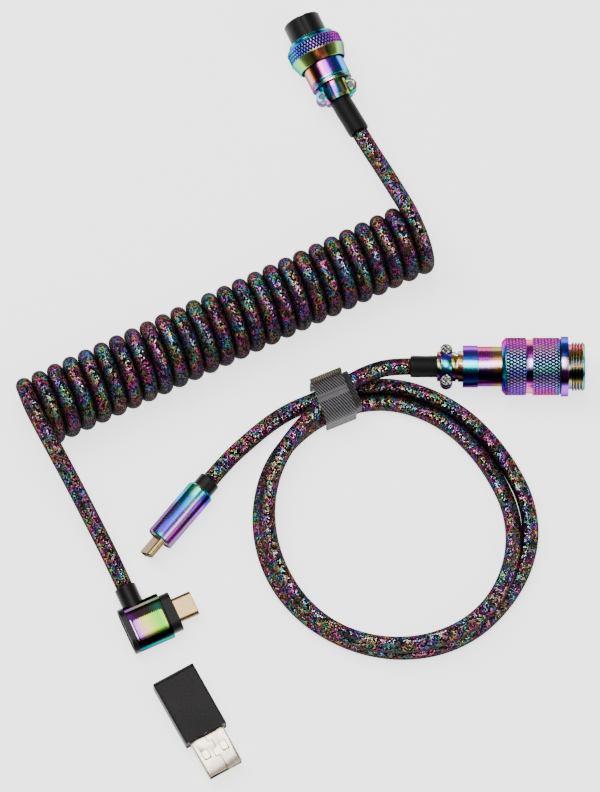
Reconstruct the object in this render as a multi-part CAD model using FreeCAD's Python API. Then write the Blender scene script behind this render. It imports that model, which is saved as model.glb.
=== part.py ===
"""Detachable keyboard cable set: a coiled cable, a straight cable and a small adapter.

Millimetres, +Z up, everything lies on the plane z = 0.  The origin is below the middle of the
connectors' bounding box.  Each connector is drawn in a frame of its own: +X points out of its
mating face and its axis is the X axis.  place() then lays it down at its spot and heading.
"""
import FreeCAD
import Part
import math
import os

Vector = FreeCAD.Vector
X_AXIS = Vector(1, 0, 0)
Y_AXIS = Vector(0, 1, 0)
Z_AXIS = Vector(0, 0, 1)

# ---------------------------------------------------------------- driving dimensions
CORD_D = 5.5                      # braided cord
SHRINK_R = 3.5                    # heat-shrink sleeve outside
GAP = 0.05                        # running and assembly clearance on a radius

# round five-pole connector pair
CREST_R = 8.0                     # M16 x 1 outside thread, crest
ROOT_R = 7.4
THREAD_PITCH = 1.0
POLES = 5
POLE_CIRCLE_R = 4.1
PIN_R = 0.75
NOSE_R = 6.25                     # insulating nose that enters the receptacle
NOSE_TIP = 0.7                    # the nose ends this far in front of the plug's reference face
MOUTH_R = 6.35
BARREL_R = 6.95                   # barrel that carries the coupling ring
RING_R = 9.4                      # knurled coupling ring
SCREW_OFFSET = 5.05               # clamp screws, from the connector's axis
EAR_R = 2.1                       # round ears of the clamp
SHELL_R = 9.4                     # receptacle's knurled body
BACK_R = 6.5                      # receptacle's back shell
NECK_R = 4.85
NECK_BORE_R = 3.6

# USB-C plug and socket, USB-A plug
C_WIDTH = 8.34
C_HEIGHT = 2.56
C_EXPOSED = 6.65
C_WALL = 0.3
C_PITCH = 0.5
C_CONTACTS = 12
A_WIDTH = 12.0
A_HEIGHT = 4.5
A_WALL = 0.3
A_EXPOSED = 13.0

# straight USB-C plug
SLEEVE_R = 4.6
SLEEVE_LENGTH = 21.4
SLEEVE_WALL = 0.35
COLLAR_R = 3.65
COLLAR_LENGTH = 4.4
PLUG_ROLL = 62.0

# angled USB-C plug
ANGLED_LENGTH = 12.2
ANGLED_WIDTH = 15.6
ANGLED_HEIGHT = 9.0
ANGLED_WALL = 0.6
CAP_LENGTH = 1.8
ANGLED_COLLAR = (3.4, 13.4, 7.0)  # length, width, height
RELIEF_R = 3.55
RELIEF_X = -2.3
RELIEF_END = 13.9                 # from the plug's axis to the relief's free end

# adapter
BODY_LENGTH = 22.4
BODY_WIDTH = 14.8
BODY_HEIGHT = 8.0
BODY_WALL = 1.5

# coil
COIL_TURNS = 25
COIL_PITCH = 5.54
COIL_MEAN_R = 9.45
COIL_CENTRE = (-40.2, 21.0)
COIL_HEADING = 25.6

# places on the plane: (x, y) and heading of the mating face
ROUND_PLUG_AT = (-15.46, 125.68)
ROUND_PLUG_HEADING = 115.1
ROUND_PLUG_BEND = 5.0             # the sleeve leans this much behind the clamp
RECEPTACLE_AT = (76.7, 7.8)
FLANGE_R = 9.8
ANGLED_AT = (-64.9, -76.6)
ANGLED_HEADING = 24.3
STRAIGHT_AT = (-61.6, -48.9)
STRAIGHT_HEADING = -129.6
ADAPTER_AT = (-51.6, -104.0)
ADAPTER_HEADING = -61.0
TIE_AT = (-5.27, -2.35)
TIE_HEADING = 22.5

# loop of the straight cable: radii every 30 degrees about its centre, from +X
LOOP_CENTRE = (14.2, -42.3)
LOOP_OUTER = (47.2, 44.0, 45.2, 48.0, 49.8, 46.5, 46.3, 45.9, 45.7, 46.6, 48.0, 48.0)
LOOP_INNER = (35.3, 32.9, 33.8, 36.8, 38.6, 39.6, 38.3, 38.0, 39.3, 40.2, 40.6, 38.8)
STACK_FROM = 135.0                # the second turn lies on the first between these angles
STACK_TO = 335.0
STACK_STEP = 5.2

# routes of the cord where it isn't coiled, each from a connector inwards
LEG_ROUTE = [
    (-72.73, -64.86, 4.5), (-77.24, -54.87, 4.5), (-82.8, -44.6, 8.4), (-88.4, -34.4, 13.3),
    (-94.0, -24.6, 17.6), (-98.6, -16.6, 20.4), (-102.6, -8.9, 21.65),
]
LEAD_ROUTE = [
    (3.52, 87.77, 9.4), (7.13, 81.54, 9.4), (11.1, 74.4, 12.5), (15.4, 65.8, 16.7),
    (19.5, 57.8, 20.3), (22.3, 50.9, 21.65),
]
USB_ROUTE = [
    (-45.13, -29.0, 4.6), (-39.67, -22.39, 4.6), (-33.0, -15.8, 3.2), (-25.6, -9.3, 2.75),
    (-18.7, -5.0, 2.75), (-12.2, -2.4, 2.75),
]
STRAIGHT_ROUTE = [
    (19.87, 7.8, 9.8), (14.2, 7.8, 9.8), (8.2, 6.5, 9.4), (1.4, 3.5, 9.0),
    (-4.8, -1.4, 8.9), (-10.2, -6.7, 8.3), (-15.8, -12.3, 8.3),
]

# hook-and-loop tie, drawn about the bundle
STRAP = 1.0                       # one layer
STRAP_WIDTH = 10.6
BUNDLE_HALF = 5.75                # half the bundle's width inside the tie
BUNDLE_TOP = 11.8
UNDER_SHIFT = 2.2                 # the inner layer shows this far beside the outer one
TAB_LENGTH = 8.4

NODES = {}


# ---------------------------------------------------------------- small tools
def turned(profile):
    """Solid of revolution about X from (x, radius) points."""
    points = [Vector(x, r, 0) for x, r in profile]
    points.append(points[0])
    face = Part.Face(Part.makePolygon(points))
    return face.revolve(Vector(0, 0, 0), X_AXIS, 360)


def rod(x0, x1, radius, y=0.0, z=0.0):
    return Part.makeCylinder(radius, x1 - x0, Vector(x0, y, z), X_AXIS)


def tube(x0, x1, outer, inner):
    return rod(x0, x1, outer).cut(rod(x0 - 1, x1 + 1, inner))


def block(x0, x1, y0, y1, z0, z1):
    return Part.makeBox(x1 - x0, y1 - y0, z1 - z0, Vector(x0, y0, z0))


def rounded_bar(x0, x1, width, height, radius):
    """Bar along X whose cross-section is a rounded rectangle about the X axis."""
    bar = block(x0, x1, -width / 2, width / 2, -height / 2, height / 2)
    long_edges = [e for e in bar.Edges if abs(e.tangentAt(e.FirstParameter).x) > 0.99]
    return bar.makeFillet(radius, long_edges)


def oval_bar(x0, x1, width, height):
    """Bar along X whose cross-section has fully round short sides."""
    half = height / 2
    straight = block(x0, x1, -(width / 2 - half), width / 2 - half, -half, half)
    left = rod(x0, x1, half, y=-(width / 2 - half))
    right = rod(x0, x1, half, y=width / 2 - half)
    return straight.fuse([left, right]).removeSplitter()


def oval_shell(x0, x1, width, height, wall):
    inner = oval_bar(x0 - 1, x1 + 1, width - 2 * wall, height - 2 * wall)
    return oval_bar(x0, x1, width, height).cut(inner)


def place(shape, at, height, heading):
    """Turn a connector from its own frame to its heading and lay it at its spot."""
    moved = shape.copy()
    moved.rotate(Vector(0, 0, 0), Z_AXIS, heading)
    moved.translate(Vector(at[0], at[1], height))
    return moved


def keep(node, shape):
    NODES[node] = shape


def route_wire(route):
    """Straight runs joined by tangent arcs, as one wire, with the arc radii used."""
    points = [Vector(*p) for p in route]
    edges = []
    radii = []
    start = points[0]
    for before, corner, after in zip(points, points[1:], points[2:]):
        run_in = corner - before
        run_out = after - corner
        turn = run_in.getAngle(run_out)
        shorter = min(run_in.Length, run_out.Length)
        radius = 0.45 * shorter / math.tan(turn / 2)
        setback = 0.45 * shorter
        unit_in = Vector(run_in).normalize()
        unit_out = Vector(run_out).normalize()
        arc_start = corner - unit_in * setback
        arc_end = corner + unit_out * setback
        bisector = (unit_out - unit_in).normalize()
        centre = corner + bisector * (radius / math.cos(turn / 2))
        arc_middle = centre - bisector * radius
        edges.append(Part.LineSegment(start, arc_start).toShape())
        edges.append(Part.Arc(arc_start, arc_middle, arc_end).toShape())
        radii.append(radius)
        start = arc_end
    edges.append(Part.LineSegment(start, points[-1]).toShape())
    return Part.Wire(edges), radii


def cord_tube(name, route):
    wire, radii = route_wire(route)
    first_run = Vector(*route[1]) - Vector(*route[0])
    circle = Part.makeCircle(CORD_D / 2, Vector(*route[0]), first_run)
    solid = wire.makePipeShell([Part.Wire(circle)], True, False)
    expected = math.pi * (CORD_D / 2) ** 2 * wire.Length
    shown = ", ".join("%.0f" % r for r in radii)
    print("%s: length %.1f, radii %s" % (name, wire.Length, shown))
    print("%s: volume %.0f, section x length %.0f" % (name, solid.Volume, expected))
    return solid


# ---------------------------------------------------------------- clamp shared by both round ends
def clamp_ears(x0, x1, z0, z1):
    """Two round ears beside the cable, clear of its bore and of the neck before and behind."""
    middle = (x0 + x1) / 2
    ears = []
    for side in (-1, 1):
        ear = Part.makeCylinder(EAR_R, z1 - z0, Vector(middle, side * SCREW_OFFSET, z0), Z_AXIS)
        ear = ear.cut(rod(x0 - 2, x1 + 2, NECK_BORE_R))
        ears.append(ear)
    return ears


def clamp_saddle(x0, x1):
    """Half ring over the cable with two ears, held down on the neck's fixed half."""
    ring = tube(x0, x1, NECK_R, NECK_BORE_R)
    upper = ring.common(block(x0, x1, -NECK_R, NECK_R, 0.35, NECK_R))
    ends = [rod(x0 - 2, x0, NECK_R + GAP), rod(x1, x1 + 2, NECK_R + GAP)]
    ears = [ear.cut(ends) for ear in clamp_ears(x0, x1, 0.35, 1.95)]
    saddle = upper.fuse(ears).removeSplitter()
    middle = (x0 + x1) / 2
    for side in (-1, 1):
        at = Vector(middle, side * SCREW_OFFSET, -1)
        hole = Part.makeCylinder(1.05, 6, at, Z_AXIS)
        head_room = Part.makeCylinder(1.95, 4, Vector(at.x, at.y, 1.95), Z_AXIS)
        saddle = saddle.cut(hole).cut(head_room)
    return saddle


def clamp_screws(x0, x1):
    """Two pan-head screws through the saddle's ears into the base."""
    middle = (x0 + x1) / 2
    screws = []
    for side in (-1, 1):
        at = Vector(middle, side * SCREW_OFFSET, -2.4)
        shank = Part.makeCylinder(0.98, 4.4, at, Z_AXIS)
        head = Part.makeCylinder(1.9, 1.3, Vector(at.x, at.y, 2.0), Z_AXIS)
        rim = [e for e in head.Edges if e.BoundBox.ZMin > 3.2]
        head = head.makeFillet(0.4, rim)
        slot_a = block(middle - 1.1, middle + 1.1, at.y - 0.22, at.y + 0.22, 2.7, 3.5)
        slot_b = block(middle - 0.22, middle + 0.22, at.y - 1.1, at.y + 1.1, 2.7, 3.5)
        screws.append(shank.fuse(head).cut(slot_a).cut(slot_b).removeSplitter())
    return Part.makeCompound(screws)


def neck(x_rear, x_front, x0, x1):
    """Neck of a back shell: a tube with its upper half open between x0 and x1."""
    body = tube(x_rear, x_front, NECK_R, NECK_BORE_R)
    body = body.cut(block(x0 - 0.05, x1 + 0.05, -NECK_R - 1, NECK_R + 1, 0.3, NECK_R + 1))
    body = body.fuse(clamp_ears(x0, x1, -2.6, 0.3))
    for side in (-1, 1):
        at = Vector((x0 + x1) / 2, side * SCREW_OFFSET, -4)
        body = body.cut(Part.makeCylinder(1.0, 6, at, Z_AXIS))
    return body


def poles(x0, x1, radius):
    """One rod per pole on the pole circle."""
    rods = []
    for i in range(POLES):
        angle = math.radians(90 + 36 + 72 * i)
        y = POLE_CIRCLE_R * math.cos(angle)
        z = POLE_CIRCLE_R * math.sin(angle)
        rods.append(rod(x0, x1, radius, y, z))
    return rods


# ---------------------------------------------------------------- round plug of the coiled cable
def coupling_ring():
    """Knurled ring with an inside thread; its rear lip runs on the barrel."""
    outline = [
        (-6.7, 7.45), (-6.7, 7.65), (-7.5, 8.0), (-8.3, 8.9), (-9.0, RING_R), (-12.9, RING_R),
        (-15.3, 8.5), (-16.6, 8.0), (-16.6, 7.6), (-15.0, 7.6), (-15.0, BARREL_R + GAP),
        (-13.9, BARREL_R + GAP), (-13.9, 8.2), (-11.6, 8.2), (-11.6, 7.45),
    ]
    ring = turned(outline)
    for i in range(4):
        x = -8.0 - i * THREAD_PITCH
        groove = turned([
            (x - 0.35, 7.4), (x - 0.35, 7.5), (x, 8.05), (x + 0.35, 7.5), (x + 0.35, 7.4)])
        ring = ring.cut(groove)
    return ring


def round_plug():
    barrel = turned([
        (-11.8, NOSE_R + GAP), (-11.8, 7.6), (-13.8, 7.6), (-13.8, BARREL_R), (-15.1, BARREL_R),
        (-15.1, 6.7), (-15.5, 6.7), (-15.5, BARREL_R), (-22.4, BARREL_R), (-22.6, 6.7),
        (-23.0, 6.7), (-23.2, BARREL_R), (-23.9, BARREL_R), (-23.9, NECK_BORE_R),
        (-22.9, NECK_BORE_R), (-22.9, 5.4), (-17.0, 5.4), (-17.0, NOSE_R + GAP),
    ])
    rear = neck(-29.8, -23.9, -28.6, -25.4)
    keep("round_plug_barrel", barrel.fuse(rear).removeSplitter())

    nose = rod(-16.9, NOSE_TIP, NOSE_R)
    rim = [e for e in nose.Edges if e.BoundBox.XMin > NOSE_TIP - 0.01]
    nose = nose.makeChamfer(0.5, rim)
    nose = nose.cut(Part.makeCompound(poles(-17.5, NOSE_TIP + 1, 1.1)))
    nose = nose.cut(block(-11.7, NOSE_TIP + 1, -1.0, 1.0, NOSE_R - 1.2, NOSE_R + 1))
    keep("round_plug_nose", nose)
    outsides = poles(-19.4, NOSE_TIP - 0.6, 1.05)
    bores = poles(-7.0, NOSE_TIP, 0.8)
    sockets = [outside.cut(bore) for outside, bore in zip(outsides, bores)]
    keep("round_plug_sockets", Part.makeCompound(sockets))

    clip = tube(-15.45, -15.15, 7.5, 6.75)
    keep("round_plug_retaining_clip", clip.cut(block(-17, -14, -1.0, 1.0, -8, 0)))
    keep("round_plug_clamp_saddle", clamp_saddle(-28.6, -25.4))
    keep("round_plug_clamp_screws", clamp_screws(-28.6, -25.4))

    inside = rod(-29.8, -24.2, SHRINK_R)
    outside = rod(-12.6, 0.3, SHRINK_R)
    outside.rotate(Vector(0, 0, 0), Z_AXIS, ROUND_PLUG_BEND)
    outside.translate(Vector(-29.8, 0, 0))
    keep("round_plug_heat_shrink", inside.fuse(outside).removeSplitter())
    keep("coupling_ring", coupling_ring())
    for node in list(NODES):
        if node.startswith("round_plug") or node == "coupling_ring":
            shape = NODES[node]
            if "clamp" in node or "barrel" in node:
                shape = shape.copy()
                shape.rotate(Vector(0, 0, 0), X_AXIS, 180)
            keep(node, place(shape, ROUND_PLUG_AT, RING_R, ROUND_PLUG_HEADING))


# ---------------------------------------------------------------- round receptacle of the straight cable
def receptacle():
    crests = []
    for i in range(5):
        x = -0.45 - i * THREAD_PITCH
        crests += [(x + 0.3, ROOT_R), (x + 0.06, CREST_R), (x - 0.06, CREST_R), (x - 0.3, ROOT_R)]
    outline = [(0.0, MOUTH_R), (0.0, ROOT_R)] + crests + [
        (-5.4, ROOT_R), (-5.4, FLANGE_R), (-7.8, FLANGE_R), (-7.8, 8.1), (-8.3, 8.1), (-8.3, SHELL_R),
        (-17.0, SHELL_R), (-17.0, 8.9), (-19.2, 8.9), (-19.2, SHELL_R), (-25.6, SHELL_R), (-27.1, 8.0),
        (-27.1, BACK_R + GAP), (-16.1, BACK_R + GAP), (-16.1, 7.0), (-9.4, 7.0), (-9.4, MOUTH_R),
    ]
    keep("receptacle_shell", turned(outline))
    keep("receptacle_seal_ring", tube(-8.25, -7.85, 9.0, 8.12))

    back = turned([
        (-20.5, BACK_R), (-34.8, BACK_R), (-34.8, 6.85), (-39.7, 6.85), (-39.7, 5.05),
        (-41.3, 5.05), (-41.3, 4.4), (-42.0, 4.4), (-42.0, NECK_BORE_R), (-40.0, NECK_BORE_R),
        (-38.0, 5.2), (-20.5, 5.2),
    ])
    rear = neck(-48.1, -42.0, -46.8, -43.4)
    keep("receptacle_back_shell", back.fuse(rear).removeSplitter())
    keep("receptacle_clamp_saddle", clamp_saddle(-46.8, -43.4))
    keep("receptacle_clamp_screws", clamp_screws(-46.8, -43.4))
    keep("receptacle_heat_shrink", rod(-56.8, -42.3, SHRINK_R))

    holder = rod(-16.0, -9.45, 6.95).cut(Part.makeCompound(poles(-17, -9, PIN_R + 0.02)))
    keep("receptacle_insulator", holder)
    keep("receptacle_pins", Part.makeCompound(poles(-18.5, -3.0, PIN_R)))
    for node in list(NODES):
        if node.startswith("receptacle"):
            keep(node, place(NODES[node], RECEPTACLE_AT, FLANGE_R, 0))


# ---------------------------------------------------------------- USB-C plug parts, mating face at x = x_tip
def c_insulator(x_rear, x_tip):
    """Plastic carrier inside a USB-C plug, open in the middle for the socket's tongue."""
    width = C_WIDTH - 2 * C_WALL - 2 * GAP
    height = C_HEIGHT - 2 * C_WALL - 2 * GAP
    carrier = oval_bar(x_rear, x_tip - 0.3, width, height)
    return carrier.cut(block(x_tip - 5.6, x_tip, -3.45, 3.45, -0.45, 0.45))


def c_contacts(x_tip):
    """Two rows of contact strips on the slot's upper and lower walls."""
    strips = []
    for row in (-1, 1):
        z0, z1 = sorted((row * 0.33, row * 0.45))
        for i in range(C_CONTACTS):
            y = (i - (C_CONTACTS - 1) / 2) * C_PITCH
            strips.append(block(x_tip - 5.2, x_tip - 1.0, y - 0.13, y + 0.13, z0, z1))
    return Part.makeCompound(strips)


def straight_plug():
    sleeve = turned([
        (0, SLEEVE_R - SLEEVE_WALL), (0, SLEEVE_R - 0.2), (-0.2, SLEEVE_R),
        (-SLEEVE_LENGTH + 0.7, SLEEVE_R), (-SLEEVE_LENGTH, SLEEVE_R - 0.6),
        (-SLEEVE_LENGTH, SLEEVE_R - SLEEVE_WALL - 0.4), (-SLEEVE_LENGTH + 0.7, SLEEVE_R - SLEEVE_WALL),
    ])
    shell = oval_shell(-4.0, C_EXPOSED, C_WIDTH, C_HEIGHT, C_WALL)
    board = block(-14.0, -4.3, -3.3, 3.3, -0.4, 0.4)
    core = rod(-SLEEVE_LENGTH + 0.75, -0.3, SLEEVE_R - SLEEVE_WALL - GAP)
    core = core.cut(oval_bar(-4.3, 1, C_WIDTH + 2 * GAP, C_HEIGHT + 2 * GAP))
    core = core.cut(block(-14.1, -4.2, -3.4, 3.4, -0.5, 0.5))
    pieces = {
        "straight_plug_sleeve": sleeve,
        "straight_plug_core": core,
        "straight_plug_collar": rod(-SLEEVE_LENGTH - COLLAR_LENGTH, -SLEEVE_LENGTH, COLLAR_R),
        "straight_plug_shell": shell,
        "straight_plug_insulator": c_insulator(-3.9, C_EXPOSED),
        "straight_plug_contacts": c_contacts(C_EXPOSED),
        "straight_plug_board": board,
    }
    for node, shape in pieces.items():
        rolled = shape.copy()
        rolled.rotate(Vector(0, 0, 0), X_AXIS, PLUG_ROLL)
        keep(node, place(rolled, STRAIGHT_AT, SLEEVE_R, STRAIGHT_HEADING))


def angled_plug():
    half = ANGLED_LENGTH / 2
    corner = ANGLED_HEIGHT / 2 - 0.3
    outer = rounded_bar(-half, half, ANGLED_WIDTH, ANGLED_HEIGHT, corner)
    inner_width = ANGLED_WIDTH - 2 * ANGLED_WALL
    inner_height = ANGLED_HEIGHT - 2 * ANGLED_WALL
    inner = rounded_bar(-half - 1, half + 1, inner_width, inner_height, corner - ANGLED_WALL)
    relief_hole = Part.makeCylinder(RELIEF_R + GAP, 10, Vector(RELIEF_X, 4, 0), Y_AXIS)
    sleeve = outer.cut(inner).cut(relief_hole)

    length, width, height = ANGLED_COLLAR
    tip = half + length + C_EXPOSED
    collar = rounded_bar(half, half + length, width, height, height / 2 - 0.2)
    collar = collar.cut(oval_bar(half - 1, half + length + 1, C_WIDTH + 2 * GAP, C_HEIGHT + 2 * GAP))
    core = rounded_bar(-half, half, inner_width - 2 * GAP, inner_height - 2 * GAP, corner - ANGLED_WALL)
    core = core.cut(oval_bar(half - 2.2, half + 1, C_WIDTH + 2 * GAP, C_HEIGHT + 2 * GAP))
    core = core.cut(block(-half + 1.0, half - 2.1, -4.6, 4.6, -0.5, 0.5))
    core = core.cut(Part.makeCylinder(RELIEF_R + GAP, 10, Vector(RELIEF_X, 5.4, 0), Y_AXIS))
    relief = Part.makeCylinder(RELIEF_R, RELIEF_END - 5.5, Vector(RELIEF_X, 5.5, 0), Y_AXIS)
    pieces = {
        "angled_plug_sleeve": sleeve,
        "angled_plug_core": core,
        "angled_plug_end_cap": rounded_bar(-half - CAP_LENGTH, -half, ANGLED_WIDTH, ANGLED_HEIGHT, corner),
        "angled_plug_collar": collar,
        "angled_plug_strain_relief": relief,
        "angled_plug_shell": oval_shell(half - 2.1, tip, C_WIDTH, C_HEIGHT, C_WALL),
        "angled_plug_insulator": c_insulator(half - 2.0, tip),
        "angled_plug_contacts": c_contacts(tip),
        "angled_plug_board": block(-half + 1.1, half - 2.2, -4.5, 4.5, -0.4, 0.4),
    }
    for node, shape in pieces.items():
        keep(node, place(shape, ANGLED_AT, ANGLED_HEIGHT / 2, ANGLED_HEADING))


# ---------------------------------------------------------------- adapter
def adapter():
    half = BODY_LENGTH / 2
    socket_width = C_WIDTH + 0.6
    socket_height = C_HEIGHT + 0.6
    body = rounded_bar(-half + 1.0, half, BODY_WIDTH, BODY_HEIGHT, 0.8)
    cavity = block(
        -half, half - BODY_WALL, -BODY_WIDTH / 2 + BODY_WALL, BODY_WIDTH / 2 - BODY_WALL,
        -BODY_HEIGHT / 2 + BODY_WALL, BODY_HEIGHT / 2 - BODY_WALL)
    body = body.cut(cavity)
    shell_room = block(
        0, half + 1, -A_WIDTH / 2 - GAP, A_WIDTH / 2 + GAP, -A_HEIGHT / 2 - GAP, A_HEIGHT / 2 + GAP)
    body = body.cut(shell_room)
    cap = rounded_bar(-half, -half + 1.0, BODY_WIDTH, BODY_HEIGHT, 0.8)
    cap = cap.cut(oval_bar(-half - 1, 0, socket_width + 2 * GAP, socket_height + 2 * GAP))

    tip = half + A_EXPOSED
    shell = rounded_bar(6.0, tip, A_WIDTH, A_HEIGHT, 0.5)
    shell = shell.cut(block(5, tip + 1, -A_WIDTH / 2 + A_WALL, A_WIDTH / 2 - A_WALL,
                            -A_HEIGHT / 2 + A_WALL, A_HEIGHT / 2 - A_WALL))
    for y in (-3.25, 3.25):
        shell = shell.cut(block(tip - 8.5, tip - 5.5, y - 1.15, y + 1.15, -3, 3))
    tongue = block(6.2, tip - 0.9, -5.5, 5.5, 0.15, 1.9)
    strips = []
    for y in (-3.5, -1.0, 1.0, 3.5):
        strips.append(block(tip - 8.6, tip - 1.6, y - 0.5, y + 0.5, 0.03, 0.15))
    socket = oval_shell(-half + 0.05, -half + 7.2, socket_width, socket_height, C_WALL)
    c_strips = []
    for row in (-1, 1):
        z0, z1 = sorted((row * 0.35, row * 0.43))
        for i in range(C_CONTACTS):
            y = (i - (C_CONTACTS - 1) / 2) * C_PITCH
            c_strips.append(block(-half + 1.6, -half + 5.2, y - 0.13, y + 0.13, z0, z1))
    resistors = [block(0.5, 1.6, y - 0.3, y + 0.3, -0.85, -0.4) for y in (-3.0, 0.0, 3.0)]
    pieces = {
        "adapter_housing": body,
        "adapter_end_cap": cap,
        "adapter_usb_a_shell": shell,
        "adapter_usb_a_tongue": tongue,
        "adapter_usb_a_contacts": Part.makeCompound(strips),
        "adapter_usb_c_socket": socket,
        "adapter_usb_c_tongue": block(-half + 1.2, -half + 7.4, -3.3, 3.3, -0.35, 0.35),
        "adapter_usb_c_contacts": Part.makeCompound(c_strips),
        "adapter_board": block(-half + 7.45, 5.9, -5.4, 5.4, -0.4, 0.4),
        "adapter_resistors": Part.makeCompound(resistors),
    }
    for node, shape in pieces.items():
        keep(node, place(shape, ADAPTER_AT, BODY_HEIGHT / 2, ADAPTER_HEADING))


# ---------------------------------------------------------------- cords
def coil():
    """Outside shape of the coil: a thick tube, cut square one cord short of the lead."""
    length = COIL_TURNS * COIL_PITCH
    rear = -length / 2 - CORD_D / 2
    front = length / 2 - CORD_D / 2 - 0.3
    outer = COIL_MEAN_R + CORD_D / 2
    inner = COIL_MEAN_R - CORD_D / 2
    return place(tube(rear, front, outer, inner), COIL_CENTRE, outer, COIL_HEADING)


def loop_outline(radii, extra=0.0):
    """Closed smooth curve about the loop's centre through one radius every 30 degrees."""
    points = []
    for i, radius in enumerate(radii):
        angle = math.radians(360.0 * i / len(radii))
        x = LOOP_CENTRE[0] + (radius + extra) * math.cos(angle)
        y = LOOP_CENTRE[1] + (radius + extra) * math.sin(angle)
        points.append(Vector(x, y, 0))
    curve = Part.BSplineCurve()
    curve.interpolate(Points=points, PeriodicFlag=True)
    first = curve.FirstParameter
    quarter = (curve.LastParameter - first) / 4
    edges = [curve.toShape(first + i * quarter, first + (i + 1) * quarter) for i in range(4)]
    return Part.Wire(edges)


def ring_between(outer, inner, z0, z1):
    """Flat ring between two closed outlines, from z0 to z1."""
    outer_solid = Part.Face(outer).extrude(Vector(0, 0, z1 - z0))
    inner_solid = Part.Face(inner).extrude(Vector(0, 0, z1 - z0 + 2))
    outer_solid.translate(Vector(0, 0, z0))
    inner_solid.translate(Vector(0, 0, z0 - 1))
    return outer_solid.cut(inner_solid)


def loop():
    """Two turns side by side, the second climbing onto the first where they are stacked."""
    floor_turns = ring_between(loop_outline(LOOP_OUTER), loop_outline(LOOP_INNER), 0, CORD_D)
    upper_outline = loop_outline(LOOP_INNER, CORD_D + 0.4)
    upper = ring_between(upper_outline, loop_outline(LOOP_INNER), CORD_D - 1.0, CORD_D + STACK_STEP)
    wedge = Part.makeCylinder(
        80, 30, Vector(LOOP_CENTRE[0], LOOP_CENTRE[1], 0), Z_AXIS, STACK_TO - STACK_FROM)
    centre = Vector(LOOP_CENTRE[0], LOOP_CENTRE[1], 0)
    wedge.rotate(centre, Z_AXIS, STACK_FROM)
    return floor_turns.fuse(upper.common(wedge)).removeSplitter()


def strap_ring(x0, x1, half_width, z0, z1, layer, corner):
    """One closed layer of strap around the bundle, in the tie's own frame."""
    outer = block(x0, x1, -half_width - layer, half_width + layer, z0 - layer, z1 + layer)
    inner = block(x0 - 1, x1 + 1, -half_width, half_width, z0, z1)
    outer_edges = [e for e in outer.Edges if abs(e.tangentAt(e.FirstParameter).x) > 0.99]
    inner_edges = [e for e in inner.Edges if abs(e.tangentAt(e.FirstParameter).x) > 0.99]
    return outer.makeFillet(corner + layer, outer_edges).cut(inner.makeFillet(corner, inner_edges))


def tie():
    half = STRAP_WIDTH / 2
    under = strap_ring(
        -half + UNDER_SHIFT, half + UNDER_SHIFT, BUNDLE_HALF, STRAP, BUNDLE_TOP, STRAP, 1.2)
    over = strap_ring(-half, half, BUNDLE_HALF + STRAP, -5.0, BUNDLE_TOP + STRAP, STRAP, 2.2)
    bridge = strap_ring(-half, -half + UNDER_SHIFT, BUNDLE_HALF, STRAP, BUNDLE_TOP, STRAP, 1.2)
    open_side = block(-half - 1, half + 1, 0, 20, BUNDLE_TOP + STRAP, 20)
    below = block(-half - 1, half + 1, -20, 20, -10, 0.3)
    over = over.cut(open_side).cut(below)
    strap = under.fuse([over, bridge]).removeSplitter()
    tab_bottom = BUNDLE_TOP + STRAP + 0.15
    tab = block(-half, half, 0.1, TAB_LENGTH, tab_bottom, tab_bottom + STRAP)
    keep("tie_strap", place(strap, TIE_AT, 0, TIE_HEADING))
    keep("tie_tab", place(tab, TIE_AT, 0, TIE_HEADING))


def largest_solid(shape):
    return max(shape.Solids, key=lambda s: s.Volume)


def cords():
    keep("coil_cord", coil())
    keep("coil_leg_cord", cord_tube("coil_leg_cord", LEG_ROUTE))
    keep("coil_lead_cord", cord_tube("coil_lead_cord", LEAD_ROUTE))
    whole_loop = loop()
    keep("loop_cord", largest_solid(whole_loop.cut(NODES["tie_strap"])))
    keep("usb_lead_cord", largest_solid(cord_tube("usb_lead_cord", USB_ROUTE).cut(whole_loop)))
    keep("straight_lead_cord", cord_tube("straight_lead_cord", STRAIGHT_ROUTE))


def main():
    round_plug()
    receptacle()
    straight_plug()
    angled_plug()
    adapter()
    tie()
    cords()
    os.makedirs("parts", exist_ok=True)
    for node, shape in NODES.items():
        solids = shape.Solids
        if not shape.isValid() or not solids:
            print("PROBLEM", node, "valid", shape.isValid(), "solids", len(solids))
        kept = solids[0] if len(solids) == 1 else Part.makeCompound(solids)
        kept.exportStep("parts/%s.step" % node)
        box = kept.BoundBox
        print("%-28s solids %2d volume %9.1f z %6.2f..%6.2f" % (
            node, len(solids), kept.Volume, box.ZMin, box.ZMax))


main()
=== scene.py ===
"""Looks for the detachable keyboard cable set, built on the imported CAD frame."""
import bmesh
import bpy
import math
from mathutils import Matrix, Vector


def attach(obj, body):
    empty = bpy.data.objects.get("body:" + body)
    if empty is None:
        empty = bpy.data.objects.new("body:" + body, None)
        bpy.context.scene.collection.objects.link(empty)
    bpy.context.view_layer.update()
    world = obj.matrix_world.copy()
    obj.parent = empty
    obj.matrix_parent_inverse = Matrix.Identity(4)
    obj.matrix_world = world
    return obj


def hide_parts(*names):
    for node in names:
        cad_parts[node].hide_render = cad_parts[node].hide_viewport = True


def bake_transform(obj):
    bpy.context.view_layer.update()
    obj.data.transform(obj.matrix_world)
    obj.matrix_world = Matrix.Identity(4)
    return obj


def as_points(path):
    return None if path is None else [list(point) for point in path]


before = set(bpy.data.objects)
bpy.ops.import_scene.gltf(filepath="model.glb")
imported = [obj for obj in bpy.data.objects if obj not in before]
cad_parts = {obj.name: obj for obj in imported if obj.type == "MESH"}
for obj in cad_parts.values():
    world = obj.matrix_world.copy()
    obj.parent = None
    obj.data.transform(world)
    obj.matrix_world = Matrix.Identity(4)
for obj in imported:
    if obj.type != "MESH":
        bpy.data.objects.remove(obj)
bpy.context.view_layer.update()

MM = 0.001
TAU = 2 * math.pi

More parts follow.
